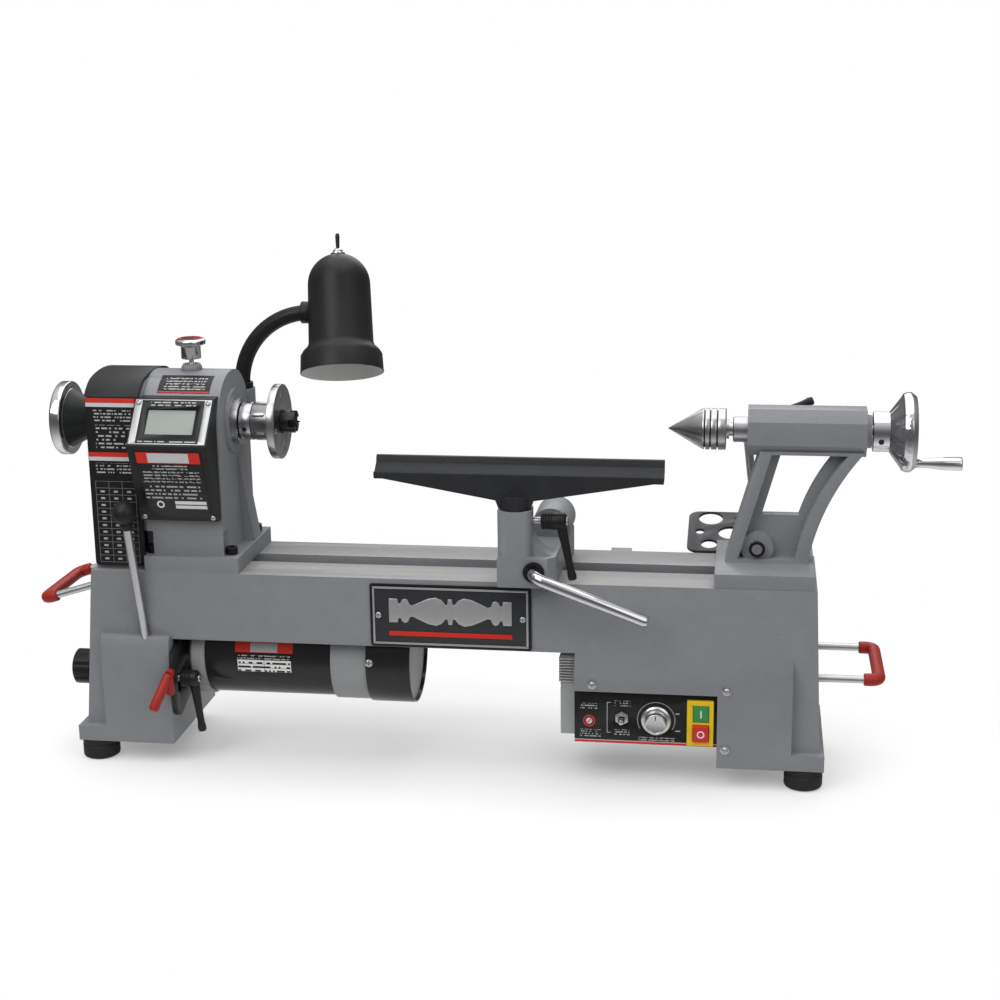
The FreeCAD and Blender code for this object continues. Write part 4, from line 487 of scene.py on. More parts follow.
@dataclass(frozen=True)
class BadgePrint(Finish):
    """Name plate: black, inked round the edge of its face; its silver border, three plain bars and red line
    instead of any name are pieces of their own.
    """

    def artwork(self, graph: Graph, colour: object) -> object:
        """Ink round the edge of the face."""
        x, z = graph.x, graph.z
        front = graph.y < -66.4
        inner = graph.rect(x, z, (308.5, -70.5), (472.5, -8.5))
        return graph.blend(front * (1 - inner), colour, INK)


@dataclass(frozen=True)
class MotorPrint(Finish):
    """Motor shell: black gloss enamel with a plain rating plate."""

    def artwork(self, graph: Graph, colour: object) -> object:
        """Red header, white boxes and dashes, on the front of the shell only."""
        x, z = graph.x, graph.z
        front = graph.y < -8
        colour = graph.blend(front * graph.rect(x, z, (150, -120), (214, -81)), colour, INK)
        colour = graph.blend(front * graph.rect(x, z, (150, -93), (214, -82)), colour, RED)
        colour = graph.blend(front * graph.rect(x, z, (167, -92.4), (197, -82.6)), colour, PRINT)
        colour = graph.blend(front * print_rows(graph, x, z, (152, -100), (212, -94), 3.0), colour,
                             PRINT)
        colour = graph.blend(front * graph.rect(x, z, (152, -115), (212, -101)), colour, WHITE)
        colour = graph.blend(front * print_rows(graph, x, z, (153, -114.5), (211, -101.5), 4.6, 2.2),
                             colour, INK)
        grid = (((x - 152) % 30) < 0.5).either(((z + 115) % 4.67) < 0.4)
        return graph.blend(front * grid * graph.rect(x, z, (152, -115), (212, -101)), colour, INK)


@dataclass(frozen=True)
class PanelPrint(Finish):
    """Control panel: black with a red line along the foot and plain marks beside the controls."""

    def artwork(self, graph: Graph, colour: object) -> object:
        """Line, ring, brackets and rows of dashes."""
        x, z = graph.x, graph.z
        front = graph.y < -68.5
        colour = graph.blend(front * graph.rect(x, z, (521, -171.6), (670, -168.8)), colour, RED)
        colour = graph.blend(front * graph.rect(x, z, (521, -168.8), (670, -168.1)), colour, SILVER)
        ring = self.circle(graph, 536.5, -147.5)
        colour = graph.blend(front * (ring < 6.4) * (ring > 5.0), colour, RED)
        colour = graph.blend(front * (ring < 3.4), colour, SILVER)
        colour = graph.blend(front * (ring < 5.2) * (abs(x - 536.5 - (z + 147.5)) < 0.7), colour, RED)
        dial = self.circle(graph, 606.5, -144)
        around = (dial > 19.0) * (dial < 20.0) * (z > -154)
        words = print_rows(graph, x, z, (527, -165), (549, -157), 2.5, 1.3).either(
            print_rows(graph, x, z, (527, -134), (545, -128), 2.8, 1.3)).either(
            print_rows(graph, x, z, (563, -130), (580, -124), 2.7, 1.3)).either(
            print_rows(graph, x, z, (563, -162), (579, -156), 2.7, 1.3)).either(
            print_rows(graph, x, z, (588, -167), (626, -162), 2.6, 1.3)).either(
            print_rows(graph, x, z, (626.5, -137), (631.5, -134), 3.0, 1.3)).either(
            print_rows(graph, x, z, (626.5, -156), (631.5, -153), 3.0, 1.3))
        bracket = graph.rect(x, z, (555, -160), (555.7, -126)).either(
            graph.rect(x, z, (555, -126.7), (559, -126))).either(
            graph.rect(x, z, (555, -160), (559, -159.3)))
        return graph.blend(front * words.either(bracket).either(around * 0.6), colour, PRINT)

    @staticmethod
    def circle(graph: Graph, x: float, z: float) -> Wire:
        """Distance from a point of the panel's face."""
        return ((graph.x - x) ** 2 + (graph.z - z) ** 2) ** 0.5


@dataclass(frozen=True)
class PlatePrint(Finish):
    """Data plate under the readout: red ends, a grey block, rows of dashes and two white boxes."""

    def artwork(self, graph: Graph, colour: object) -> object:
        """Header, rows and boxes, measured across and up the plate."""
        x, z = graph.x, graph.z
        colour = graph.blend(graph.rect(x, z, (69, 125), (137, 137.5)), colour, RED)
        colour = graph.blend(graph.rect(x, z, (81, 125.8), (125, 136.6)), colour, SILVER)
        words = print_rows(graph, x, z, (84, 118), (122, 123), 3.4, 2.3).either(
            print_rows(graph, x, z, (72, 103), (134, 117), 3.7, 1.5)).either(
            print_rows(graph, x, z, (72, 84), (132, 101), 4.4, 2.0))
        colour = graph.blend(words, colour, PRINT)
        upper = graph.rect(x, z, (102, 77.4), (136, 81.2))
        boxes = upper.either(graph.rect(x, z, (102, 72.4), (136, 76.2)))
        colour = graph.blend(boxes, colour, WHITE)
        seal = ((graph.x - 86) ** 2 + (graph.z - 77) ** 2) ** 0.5
        return graph.blend((seal < 4.2) * (seal > 2.4), colour, WHITE)


@dataclass(frozen=True)
class DisplayPrint(Finish):
    """Readout's upper plate: black with rows of dashes above and below the display."""

    def artwork(self, graph: Graph, colour: object) -> object:
        """Rows of dashes."""
        x, z = graph.x, graph.z
        words = print_rows(graph, x, z, (79, 181), (128, 186), 2.5, 1.5).either(
            print_rows(graph, x, z, (72, 148.5), (134, 151), 2.6, 1.8))
        return graph.blend(words, colour, PRINT)


@dataclass(frozen=True)
class HeadPaint(CastPaint):
    """Headstock enamel with a plain black plate on its front shoulder."""

    def artwork(self, graph: Graph, colour: object) -> object:
        """Black rectangle with a red foot and rows of dashes."""
        x, z = graph.x, graph.z
        front = graph.y < -8
        colour = graph.blend(front * graph.rect(x, z, (78, 189.5), (135, 204.6)), colour, INK)
        colour = graph.blend(front * graph.rect(x, z, (79, 190.4), (134, 191.4)), colour, RED)
        return graph.blend(front * print_rows(graph, x, z, (84, 193), (129, 203.6), 2.2, 1.5), colour,
                           PRINT)


GREY: Colour = (0.225, 0.232, 0.245)
FINISHES: dict[str, Finish] = {finish.name: finish for finish in (
    CastPaint("cast_enamel", "cast_grey", GREY, 0.4, coat=0.10, grain=1.6, depth=0.34, mottle=0.07),
    HeadPaint("head_enamel", "cast_grey", GREY, 0.4, coat=0.10, grain=1.6, depth=0.34, mottle=0.07),
    CastPaint("bed_enamel", "cast_grey", GREY, 0.4, coat=0.10, grain=1.6, depth=0.34, mottle=0.07,
              ground=True),
    Finish("sheet_enamel", "sheet_grey", (0.33, 0.335, 0.34), 0.4, coat=0.07, grain=0.8, depth=0.02,
           mottle=0.04),
    CastPaint("bell_enamel", "sheet_grey", (0.30, 0.305, 0.31), 0.45, coat=0.03, grain=1.2, depth=0.08,
              mottle=0.06),
    Finish("black_enamel", "black_paint", (0.016, 0.017, 0.018), 0.42, grain=0.5, depth=0.05,
           mottle=0.2),
    CoverPrint("cover_print", "black_paint", INK, 0.32, coat=0.07, grain=0.5, depth=0.012),
    BadgePrint("badge_print", "plate_black", (0.03, 0.032, 0.035), 0.3, coat=0.10, grain=0.5,
               depth=0.012),
    MotorPrint("motor_print", "motor_black", (0.014, 0.014, 0.015), 0.25, coat=0.21, grain=1.0,
               depth=0.01),
    PanelPrint("panel_print", "black_paint", INK, 0.28, coat=0.10, grain=0.6, depth=0.008),
    PlatePrint("plate_print", "plate_black", INK, 0.3, coat=0.07, grain=0.5, depth=0.008),
    DisplayPrint("display_print", "plate_black", INK, 0.3, coat=0.07, grain=0.5, depth=0.008),
    Finish("rack_enamel", "rack_paint", (0.035, 0.036, 0.04), 0.4, grain=0.7, depth=0.03),
    Finish("lamp_satin", "lamp_black", (0.012, 0.012, 0.013), 0.38, grain=0.8, depth=0.01, mottle=0.15),
    Finish("lamp_white", "lamp_black", (0.75, 0.75, 0.73), 0.4, grain=1.0, depth=0.01, mottle=0.03),
    Finish("foot_rubber", "black_rubber", (0.018, 0.018, 0.019), 0.62, grain=0.6, depth=0.05,
           mottle=0.25),
    Finish("belt_rubber_ribbed", "belt_rubber", (0.014, 0.014, 0.014), 0.6, grain=0.5, depth=0.05,
           mottle=0.2),
    Finish("red_dip", "red_vinyl", (0.34, 0.022, 0.016), 0.38, coat=0.05, grain=0.9, depth=0.05,
           mottle=0.16),
    # Black oxide steel, also laid as painted shade at the bottoms of the live centre's grooves.
    TurnedMetal("oxide_steel_and_groove_shade", "black_steel", (0.03, 0.03, 0.032), 0.36, 0.85, grain=0.8, depth=0.02,
                mottle=0.2),
    TurnedMetal("turned_steel", "bright_steel", (0.4, 0.4, 0.41), 0.26, 1.0, grain=1.2, depth=0.012,
                mottle=0.1),
    DrawnMetal("drawn_steel", "bright_steel", (0.5, 0.5, 0.51), 0.3, 1.0, grain=1.0, depth=0.008,
               mottle=0.1),
    DrawnMetal("bright_zinc", "bright_steel", (0.5, 0.5, 0.51), 0.34, 1.0, grain=0.8, depth=0.01,
               stretch=(1, 1, 1)),
    TurnedMetal("ground_steel", "bearing_steel", (0.45, 0.45, 0.46), 0.22, 1.0, depth=0.008),
    TurnedMetal("polished_chrome", "chrome", (0.55, 0.55, 0.57), 0.09, 1.0, depth=0.003, mottle=0.03,
                gloss_change=0.05),
    Finish("pin_chrome", "chrome", (0.62, 0.62, 0.63), 0.14, 1.0, grain=0.8, depth=0.006, mottle=0.05,
           gloss_change=0.06),
    Finish("satin_plate", "black_paint", (0.42, 0.425, 0.43), 0.35, 0.7, grain=0.5, depth=0.01,
           mottle=0.06),
    Finish("plate_black_gloss", "plate_black", (0.02, 0.02, 0.02), 0.25, coat=0.14, grain=0.5,
           depth=0.005),
    TurnedMetal("turned_aluminium", "pulley_aluminium", (0.6, 0.61, 0.62), 0.3, 1.0, depth=0.015),
    TurnedMetal("satin_aluminium", "dial_aluminium", (0.62, 0.62, 0.62), 0.26, 1.0, depth=0.01,
                centre=(606.5, 0, -144)),
    CastPaint("rough_iron", "rest_iron", (0.022, 0.023, 0.025), 0.5, grain=1.0, depth=0.25,
              mottle=0.25),
    Finish("black_moulded", "black_plastic", (0.014, 0.014, 0.015), 0.36, grain=0.6, depth=0.02,
           mottle=0.2),
    Finish("yellow_moulded", "yellow_plastic", (0.75, 0.5, 0.015), 0.3, coat=0.07, grain=0.8,
           depth=0.01, mottle=0.05),
    Finish("green_moulded", "green_plastic", (0.04, 0.26, 0.07), 0.28, coat=0.10, grain=0.8,
           depth=0.008, mottle=0.06),
    Finish("red_moulded", "red_plastic", (0.55, 0.03, 0.025), 0.28, coat=0.10, grain=0.8, depth=0.008,
           mottle=0.06),
    Finish("display_pane", "display_glass", (0.30, 0.33, 0.31), 0.12, coat=0.28, grain=2.0, depth=0.002,
           mottle=0.12),
    Finish("frosted_bulb", "bulb_glass", (0.85, 0.85, 0.82), 0.3, coat=0.17, grain=3.0, depth=0.002,
           mottle=0.03),
    Finish("mark_white", "black_plastic", WHITE, 0.4, grain=0.6, depth=0.005, mottle=0.04),
    Finish("mark_red", "plate_black", RED, 0.35, grain=0.6, depth=0.005, mottle=0.06),
    Finish("mark_silver", "plate_black", (0.42, 0.42, 0.43), 0.34, 0.5, grain=0.6, depth=0.005,
           mottle=0.06),
)}


@lru_cache(maxsize=None)
def finish_material(name: str) -> bpy.types.Material:
    """The material of a named finish, made once."""
    return FINISHES[name].build()


def deselect() -> None:
    """Leave edit mode and select nothing."""
    if bpy.context.object and bpy.context.object.mode != "OBJECT":
        bpy.ops.object.mode_set(mode="OBJECT")
    bpy.ops.object.select_all(action="DESELECT")


def focus(piece: bpy.types.Object) -> bpy.types.Object:
    """Select one piece and make it active."""
    deselect()
    piece.hide_viewport = False
    piece.select_set(True)
    bpy.context.view_layer.objects.active = piece
    return piece


def settle(piece: bpy.types.Object) -> bpy.types.Object:
    """Move a piece's place into its mesh."""
    focus(piece)
    bpy.ops.object.transform_apply(location=True, rotation=True, scale=True)
    return piece


def open_edit(piece: bpy.types.Object, everything: bool = True) -> None:
    """Open a piece in edit mode, with all or nothing selected."""
    focus(piece)
    bpy.ops.object.mode_set(mode="EDIT")
    bpy.ops.mesh.select_all(action="SELECT" if everything else "DESELECT")


def close_edit() -> None:
    """Back to object mode."""
    bpy.ops.object.mode_set(mode="OBJECT")


def mend(piece: bpy.types.Object) -> bpy.types.Object:
    """Merge doubles, close open ends and turn all faces outwards."""
    open_edit(piece)
    bpy.ops.mesh.remove_doubles(threshold=1e-6)
    bpy.ops.mesh.select_all(action="DESELECT")
    bpy.ops.mesh.select_non_manifold()
    bpy.ops.mesh.fill_holes(sides=0)
    bpy.ops.mesh.select_all(action="SELECT")
    bpy.ops.mesh.normals_make_consistent(inside=False)
    close_edit()
    return piece


def rounded(piece: bpy.types.Object, width: float, segments: int = 2,
            angle: float = 32.0) -> bpy.types.Object:
    """Round a piece's sharp edges and shade it smooth.

    Args:
        piece: the piece.
        width: the rounding's width in millimetres.
        segments: faces across the rounding.
        angle: edges sharper than this many degrees are rounded.

    Returns:
        The piece.
    """
    focus(piece)
    if width > 0:
        bpy.ops.object.modifier_add(type="BEVEL")
        bevel = piece.modifiers[-1]
        bevel.width = width * MM
        bevel.segments = segments
        bevel.limit_method = "ANGLE"
        bevel.angle_limit = math.radians(angle)
        bpy.ops.object.modifier_apply(modifier=bevel.name)
    bpy.ops.object.shade_smooth_by_angle(angle=SMOOTH_ANGLE)
    return piece


def turn_to(direction: Vector) -> tuple[float, float, float]:
    """Euler angles that turn the Z axis to a direction."""
    return tuple(direction.to_track_quat("Z", "Y").to_euler())


def slab(low: Vector, high: Vector, width: float = 0.3, segments: int = 2) -> bpy.types.Object:
    """Block between two corners with its edges rounded by width millimetres."""
    deselect()
    middle = (low + high) / 2
    size = high - low
    bpy.ops.mesh.primitive_cube_add(size=1, location=middle, scale=tuple(abs(part) for part in size))
    piece = settle(bpy.context.object)
    return rounded(piece, min(width, 0.45 * min(abs(part) for part in size) / MM), segments)


def turned(stations: Sequence[tuple[float, float]], foot: Vector, direction: Vector, sides: int = 64,
           edge: float = 0.25, closed: bool = False) -> bpy.types.Object:
    """Form turned about an axis, drawn out ring by ring.

    Args:
        stations: (distance along the axis, radius) in millimetres.
        foot: where distance nought is, in the row frame.
        direction: the axis.
        sides: faces round the form.
        edge: rounding of its sharp edges, in millimetres.
        closed: whether the last ring joins the first, as on a hollow form.

    Returns:
        The piece.
    """
    deselect()
    rings = [(along, max(radius, 0.02)) for along, radius in stations]
    if closed:
        rings.append(rings[0])
    bpy.ops.mesh.primitive_circle_add(vertices=sides, radius=rings[0][1] * MM,
                                      location=(0, 0, rings[0][0] * MM))
    piece = settle(bpy.context.object)
    open_edit(piece)
    for (along, radius), (next_along, next_radius) in zip(rings, rings[1:]):
        bpy.ops.mesh.extrude_region_move(TRANSFORM_OT_translate={"value": (0, 0,
                                                                           (next_along - along) * MM)})
        share = next_radius / radius
        bpy.ops.transform.resize(value=(share, share, 1), center_override=(0, 0, next_along * MM))
    close_edit()
    mend(piece)
    piece.rotation_euler = turn_to(direction)
    piece.location = foot
    settle(piece)
    return rounded(piece, edge, 2)


@dataclass
class Bar:
    """Round bar bent as a smith would: straight runs and turns, from a starting point and heading."""

    start: Vector
    heading: Vector
    radius: float
    sides: int = 24
    piece: bpy.types.Object = None

    def begin(self) -> "Bar":
        """Lay the bar's first ring."""
        deselect()
        bpy.ops.mesh.primitive_circle_add(vertices=self.sides, radius=self.radius * MM,
                                          location=self.start,
                                          rotation=turn_to(self.heading))
        self.piece = settle(bpy.context.object)
        open_edit(self.piece)
        return self

    def run(self, length: float, share: float = 1.0) -> "Bar":
        """Go straight on for length millimetres, and grow or shrink by share."""
        step = self.heading * length * MM
        bpy.ops.mesh.extrude_region_move(TRANSFORM_OT_translate={"value": tuple(step)})
        self.start = self.start + step
        if share != 1.0:
            bpy.ops.transform.resize(value=(share, share, share), center_override=tuple(self.start))
        return self

    def swell(self, share: float) -> "Bar":
        """Step outwards or inwards at once."""
        bpy.ops.mesh.extrude_region_move(TRANSFORM_OT_translate={"value": (0, 0, 0)})
        bpy.ops.transform.resize(value=(share, share, share), center_override=tuple(self.start))
        return self

    def turn(self, toward: Vector, bend: float, degrees: float = 90.0, steps: int = 8) -> "Bar":
        """Bend towards a direction square to the heading, round an arc of bend millimetres."""
        centre = self.start + toward * bend * MM
        axis = self.heading.cross(toward)
        angle = math.radians(degrees)
        bpy.ops.mesh.spin(steps=steps, angle=angle, center=tuple(centre), axis=tuple(-axis),
                          dupli=False)
        spin = Matrix.Rotation(angle, 3, axis)
        self.start = centre + spin @ (self.start - centre)
        self.heading = (spin @ self.heading).normalized()
        return self

    def end(self, edge: float = 0.4) -> bpy.types.Object:
        """Close the bar."""
        close_edit()
        mend(self.piece)
        return rounded(self.piece, edge, 2)


def copied(piece: bpy.types.Object, spots: Sequence[Vector]) -> bpy.types.Object:
    """The piece with a copy moved by each of some steps, joined as one."""
    made = [piece]
    for step in spots:
        focus(piece)
        bpy.ops.object.duplicate()
        twin = bpy.context.object
        twin.location = step
        settle(twin)
        made.append(twin)
    return joined(made)


def joined(pieces: Sequence[bpy.types.Object]) -> bpy.types.Object:
    """Several pieces as one."""
    deselect()
    for piece in pieces:
        piece.select_set(True)
    bpy.context.view_layer.objects.active = pieces[0]
    if len(pieces) > 1:
        bpy.ops.object.join()
    return bpy.context.object


def carved(piece: bpy.types.Object, tools: Sequence[bpy.types.Object]) -> bpy.types.Object:
    """A piece with others cut away from it."""
    tool = joined(tools)
    focus(piece)
    bpy.ops.object.modifier_add(type="BOOLEAN")
    modifier = piece.modifiers[-1]
    modifier.operation = "DIFFERENCE"
    modifier.object = tool
    modifier.use_self = len(tools) > 1
    bpy.ops.object.modifier_apply(modifier=modifier.name)
    focus(tool)
    bpy.ops.object.delete()
    return focus(piece)


def softened(node: str, width: float, segments: int = 2, angle: float = 32.0) -> bpy.types.Object:
    """Copy of a CAD node with its sharp edges rounded.

    Args:
        node: the node.
        width: the rounding in millimetres.
        segments: faces across the rounding.
        angle: edges sharper than this many degrees are rounded.

    Returns:
        The new piece.
    """
    source = frame["nodes"][node]
    focus(source)
    bpy.ops.object.duplicate()
    piece = bpy.context.object
    piece.parent = None
    for key in list(piece.keys()):
        del piece[key]
    open_edit(piece)
    bpy.ops.mesh.remove_doubles(threshold=2e-6)
    bpy.ops.mesh.dissolve_limited(angle_limit=math.radians(0.6), delimit=set())
    bpy.ops.mesh.normals_make_consistent(inside=False)
    close_edit()
    return rounded(piece, width, segments, angle)


def fit(piece: bpy.types.Object, name: str, body: str, finish: str,
        replaces: Sequence[str] = ()) -> bpy.types.Object:
    """Name a finished piece, dress it and hang it on its body.

    Args:
        piece: the piece.
        name: its name.
        body: the CAD body that it moves with.
        finish: the name of its finish.
        replaces: CAD nodes that it stands for.

    Returns:
        The piece.
    """
    settle(piece)
    piece.name = name
    piece.data.name = name
    piece.data.materials.clear()
    piece.data.materials.append(finish_material(finish))
    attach(piece, body)
    if replaces:
        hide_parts(*replaces)
    LOG.info("%s on %s, %s, %d faces", name, body, finish, len(piece.data.polygons))
    return piece


def second_finish(piece: bpy.types.Object, finish: str, test: Callable[[Vector, Vector], bool]) -> None:
    """Dress the faces that pass a test in another finish."""
    focus(piece)
    piece.data.materials.append(finish_material(finish))
    index = len(piece.data.materials) - 1
    for face in piece.data.polygons:
        if test(face.center, face.normal):
            face.material_index = index


def recast(node: str, width: float, finish: str, body: str, segments: int = 2) -> bpy.types.Object:
    """Replace a CAD node by its own shape with rounded edges, in a finish."""
    return fit(softened(node, width, segments), node + "_finished", body, finish, [node])


def dress(finish: str, *nodes: str) -> None:
    """Give CAD nodes a finish and leave their shape as it is."""
    for node in nodes:
        shown = frame["nodes"][node]
        shown.data.materials.clear()
        shown.data.materials.append(finish_material(finish))
        LOG.info("%s keeps its shape, %s", node, finish)


def lean(piece: bpy.types.Object, origin: Vector, degrees: float) -> bpy.types.Object:
    """Tip a piece made upright at the origin back about X, and set it down at origin."""
    piece.rotation_euler = (math.radians(degrees), 0, 0)
    piece.location = origin
    return settle(piece)


def pan_screw(radius: float, spot: Vector, direction: Vector, rise: float = 2.2) -> bpy.types.Object:
    """Pan-head screw with a cross recess; spot is under its head."""
    head = turned(((0, 0.1), (0, radius), (rise * 0.35, radius), (rise * 0.75, radius * 0.82),
                   (rise, radius * 0.5),
                   (rise + 0.15, 0.1)), Vector((0, 0, 0)), Axis.UP.vector, 32, 0.08)
    reach = Vector((radius * 0.62, radius * 0.16, rise * 0.6)) * MM
    lift = Vector((0, 0, rise * 1.1)) * MM
    bars = [slab(lift - reach, lift + reach, 0.0),
            slab(lift - reach.yxz, lift + reach.yxz, 0.0)]
    head = carved(head, bars)
    head.rotation_euler = turn_to(direction)
    head.location = spot
    return settle(head)


def socket_screw(radius: float, height: float, spot: Vector, direction: Vector) -> bpy.types.Object:
    """Socket-head cap screw with a six-sided recess; spot is under its head."""
    head = turned(((0, 0.1), (0, radius), (height, radius), (height, 0.1)), Vector((0, 0, 0)),
                  Axis.UP.vector, 32, 0.5)
    deselect()
    bpy.ops.mesh.primitive_cylinder_add(vertices=6, radius=radius * 0.52 * MM, depth=height * MM,
                                        location=(0, 0, height * MM))
    head = carved(head, [settle(bpy.context.object)])
    head.rotation_euler = turn_to(direction)
    head.location = spot
    return settle(head)


@dataclass
class RatchetLever:
    """Adjustable clamping lever: zinc stud and screw, ribbed barrel, and a leaning tapered arm."""

    name: str
    body: str
    node: str
    spot: Vector
    turn: Matrix = field(default_factory=lambda: Matrix.Identity(4))
    barrel: float = 9.0
    length: float = 21.0
    stud: float = 4.0
    stud_length: float = 11.0
    arm: float = 62.0
    lean: float = 13.0

    def build(self) -> None:
        """Make the lever's two pieces."""
        ribs = [(0.0, 5.5), (0.6, self.barrel - 1.2)]
        for rib in range(4):
            foot = 1.2 + rib * 2.6
            ribs += [(foot, self.barrel - 0.9), (foot + 0.5, self.barrel), (foot + 1.6, self.barrel),
                     (foot + 2.1, self.barrel - 0.9)]
        ribs += [(12.4, self.barrel), (self.length - 2, self.barrel), (self.length, self.barrel - 2.2),
                 (self.length, 0.1)]
        barrel = turned(ribs, Vector((0, 0, 0)), Axis.RIGHT.vector, 36, 0.2)
        root = Vector((self.length - 5.5, 0, -3)) * MM
        tip = Vector((self.length - 5.5 + self.lean, 0, -self.arm)) * MM
        heading = (tip - root).normalized()
        reach = (tip - root).length / MM
        arm = Bar(root, heading, 5.6, 20).begin().run(reach * 0.25, 0.86).run(reach * 0.4, 0.8).run(
            reach * 0.17, 1.0).run(reach * 0.1, 1.22).run(reach * 0.08, 0.92).end(1.2)
        self.place(joined([barrel, arm]), self.name + "_grip", "black_moulded", [self.node])
        stud = turned(((-self.stud_length, 0.1), (-self.stud_length, self.stud), (0.2, self.stud),
                       (0.2, 0.1)),
                      Vector((0, 0, 0)), Axis.RIGHT.vector, 24, 0.3)
        screw = turned(((self.length - 0.2, 0.1), (self.length - 0.2, 4.3), (self.length + 1.4, 4.1),
                        (self.length + 2.0, 3.0), (self.length + 2.0, 0.1)), Vector((0, 0, 0)),
                        Axis.RIGHT.vector, 24, 0.2)
        slot = slab(Vector((self.length + 1.2, -3.2, -0.5)) * MM,
                    Vector((self.length + 3, 3.2, 0.5)) * MM, 0.0)
        self.place(joined([stud, carved(screw, [slot])]), self.name + "_screw", "bright_zinc")

    def place(self, piece: bpy.types.Object, name: str, finish: str,
              replaces: Sequence[str] = ()) -> None:
        """Turn a piece to the lever's place and fit it."""
        piece.matrix_world = Matrix.Translation(self.spot) @ self.turn
        fit(piece, name, self.body, finish, replaces)


@dataclass
class Bed:
    """Cast bed with its feet, name plate, cover screws, tool rack and carrying handles."""

    foot_radius: float = 20.0
    foot_height: float = 23.0
    foot_spots: tuple[tuple[float, float], ...] = ((-6, -55), (-6, 55), (759.5, -55), (759.5, 55))
    leg_base: float = -192.0
    plate_screws: tuple[Point, ...] = ((314, -67, -39.5), (467, -67, -39.5))
    apron_screws: tuple[Point, ...] = ((540, -75, -105), (679, -75, -107), (678, -75, -171.5))
    handle_half: float = 50.5
    handle_corner: float = 9.0
    handle_reach: float = 58.0
    grip: float = 6.6
    lug_spots: tuple[Point, ...] = ((-6, -55, -176), (759.5, -55, -176))

    def build(self) -> None:
        """Make every piece of the bed."""
        recast("bed", 2.0, "bed_enamel", "base", 3)
        self.feet()
        self.plate()
        self.screws()
        recast("tool_rack", 0.5, "rack_enamel", "base")
        self.lugs()
        droop = Matrix.Rotation(math.radians(-17), 4, "Y") @ Matrix.Rotation(math.pi, 4, "Z")
        self.handle("left", at(-5, 0, -21.5), droop)
        self.handle("right", at(776, 0, -97.5), Matrix.Identity(4))

    def feet(self) -> None:
        """Rubber feet, each with a grooved waist and a rounded tread."""
        height, radius = self.foot_height, self.foot_radius
        x, y = self.foot_spots[0]
        foot = turned(((0, 0.1), (0, radius - 2.5), (1.2, radius - 0.6), (3, radius),
                       (height - 9, radius),
                       (height - 8, radius - 0.9), (height - 6.6, radius - 0.9), (height - 5.6, radius),
                       (height - 1.5, radius), (height, radius - 1.5), (height, 0.1)),
                      at(x, y, self.leg_base - height), Axis.UP.vector, 56, 0.3)
        steps = [(at(fx, fy, 0) - at(x, y, 0)) for fx, fy in self.foot_spots[1:]]
        fit(copied(foot, steps), "rubber_feet_ribbed", "base", "foot_rubber", ["rubber_feet"])

    def lugs(self) -> None:
        """Dark bolt heads let into the tops of the front foot pads."""
        heads = []
        for x, y, z in self.lug_spots:
            heads.append(turned(((0, 0.1), (0, 4.2), (0.4, 4.4), (0.5, 3.2), (0.3, 2.6), (0.3, 0.1)),
                                at(x, y, z),
                                Axis.UP.vector, 32, 0.05))
        fit(joined(heads), "foot_pad_bolts", "base", "oxide_steel_and_groove_shade")

    def plate(self) -> None:
        """Name plate with a raised silver border, and plain bars where a name would be."""
        recast("nameplate", 0.5, "badge_print", "base")
        face = -67.0
        rim = [slab(at(*low), at(*high), 0.4) for low, high in (
            ((308, face - 0.8, -10.2), (473, face, -8)), ((308, face - 0.8, -71), (473, face, -68.8)),
            ((308, face - 0.8, -70), (310.2, face, -9)), ((470.8, face - 0.8, -70), (473, face, -9)))]
        fit(joined(rim), "nameplate_border", "base", "mark_silver")
        profile = ((0, 0.1), (0, 13), (9, 13), (10, 8), (12, 8), (14, 12), (17, 13.4), (20, 12),
                   (22, 7), (25, 6),
                   (32, 9.5), (42, 14), (50, 15.5), (56, 13), (60, 8), (62, 8), (63, 14), (67, 14),
                   (68, 8), (70, 8),
                   (74, 13), (80, 15.5), (88, 14), (98, 9.5), (105, 6), (108, 7), (110, 12),
                   (113, 13.4), (116, 12),
                   (118, 8), (120, 8), (121, 13), (130, 13), (130, 0.1))
        baluster = turned(profile, Vector((0, 0, 0)), Axis.RIGHT.vector, 64, 0.2)
        baluster.scale = (1, 0.09, 1)
        baluster.location = at(325.5, face, -34)
        fit(settle(baluster), "nameplate_baluster", "base", "mark_silver")
        fit(slab(at(325, face - 0.9, -61.5), at(456, face, -56.5), 0.4), "nameplate_line", "base",
            "mark_red")

    def screws(self) -> None:
        """Small pan screws of the plate and larger ones with washers on the apron."""
        small = [pan_screw(3.4, at(*spot), Axis.FRONT.vector, 2.0) for spot in self.plate_screws]
        large = []
        for spot in self.apron_screws:
            large.append(pan_screw(3.4, at(spot[0], spot[1] - 0.9, spot[2]), Axis.FRONT.vector, 2.2))
            large.append(turned(((0, 0.1), (0, 5.2), (0.9, 5.0), (0.9, 0.1)), at(*spot),
                                Axis.FRONT.vector, 32, 0.2))
        fit(joined(small + large), "cover_screws_cross", "base", "bright_zinc", ["cover_screws"])

    def handle(self, side: str, spot: Vector, turn: Matrix) -> None:
        """Chrome rod of a carrying handle, and its dipped grip round both corners."""
        dress("bright_zinc", side + "_handle_rod")
        half, corner, reach = self.handle_half, self.handle_corner, self.handle_reach
        start = Vector((reach - corner - 7, -half, 0)) * MM
        thin = self.grip - 1.2
        grip = Bar(start, Axis.RIGHT.vector, thin, 24).begin().run(1.0, self.grip / thin).run(6)
        grip = grip.turn(Axis.BACK.vector, corner).run(2 * (half - corner))
        grip = grip.turn(Axis.LEFT.vector, corner).run(6).run(1.0, thin / self.grip).end(0.3)
        grip.matrix_world = Matrix.Translation(spot) @ turn
        fit(grip, side + "_handle_grip_dipped", side + "_handle", "red_dip", [side + "_handle_grip"])


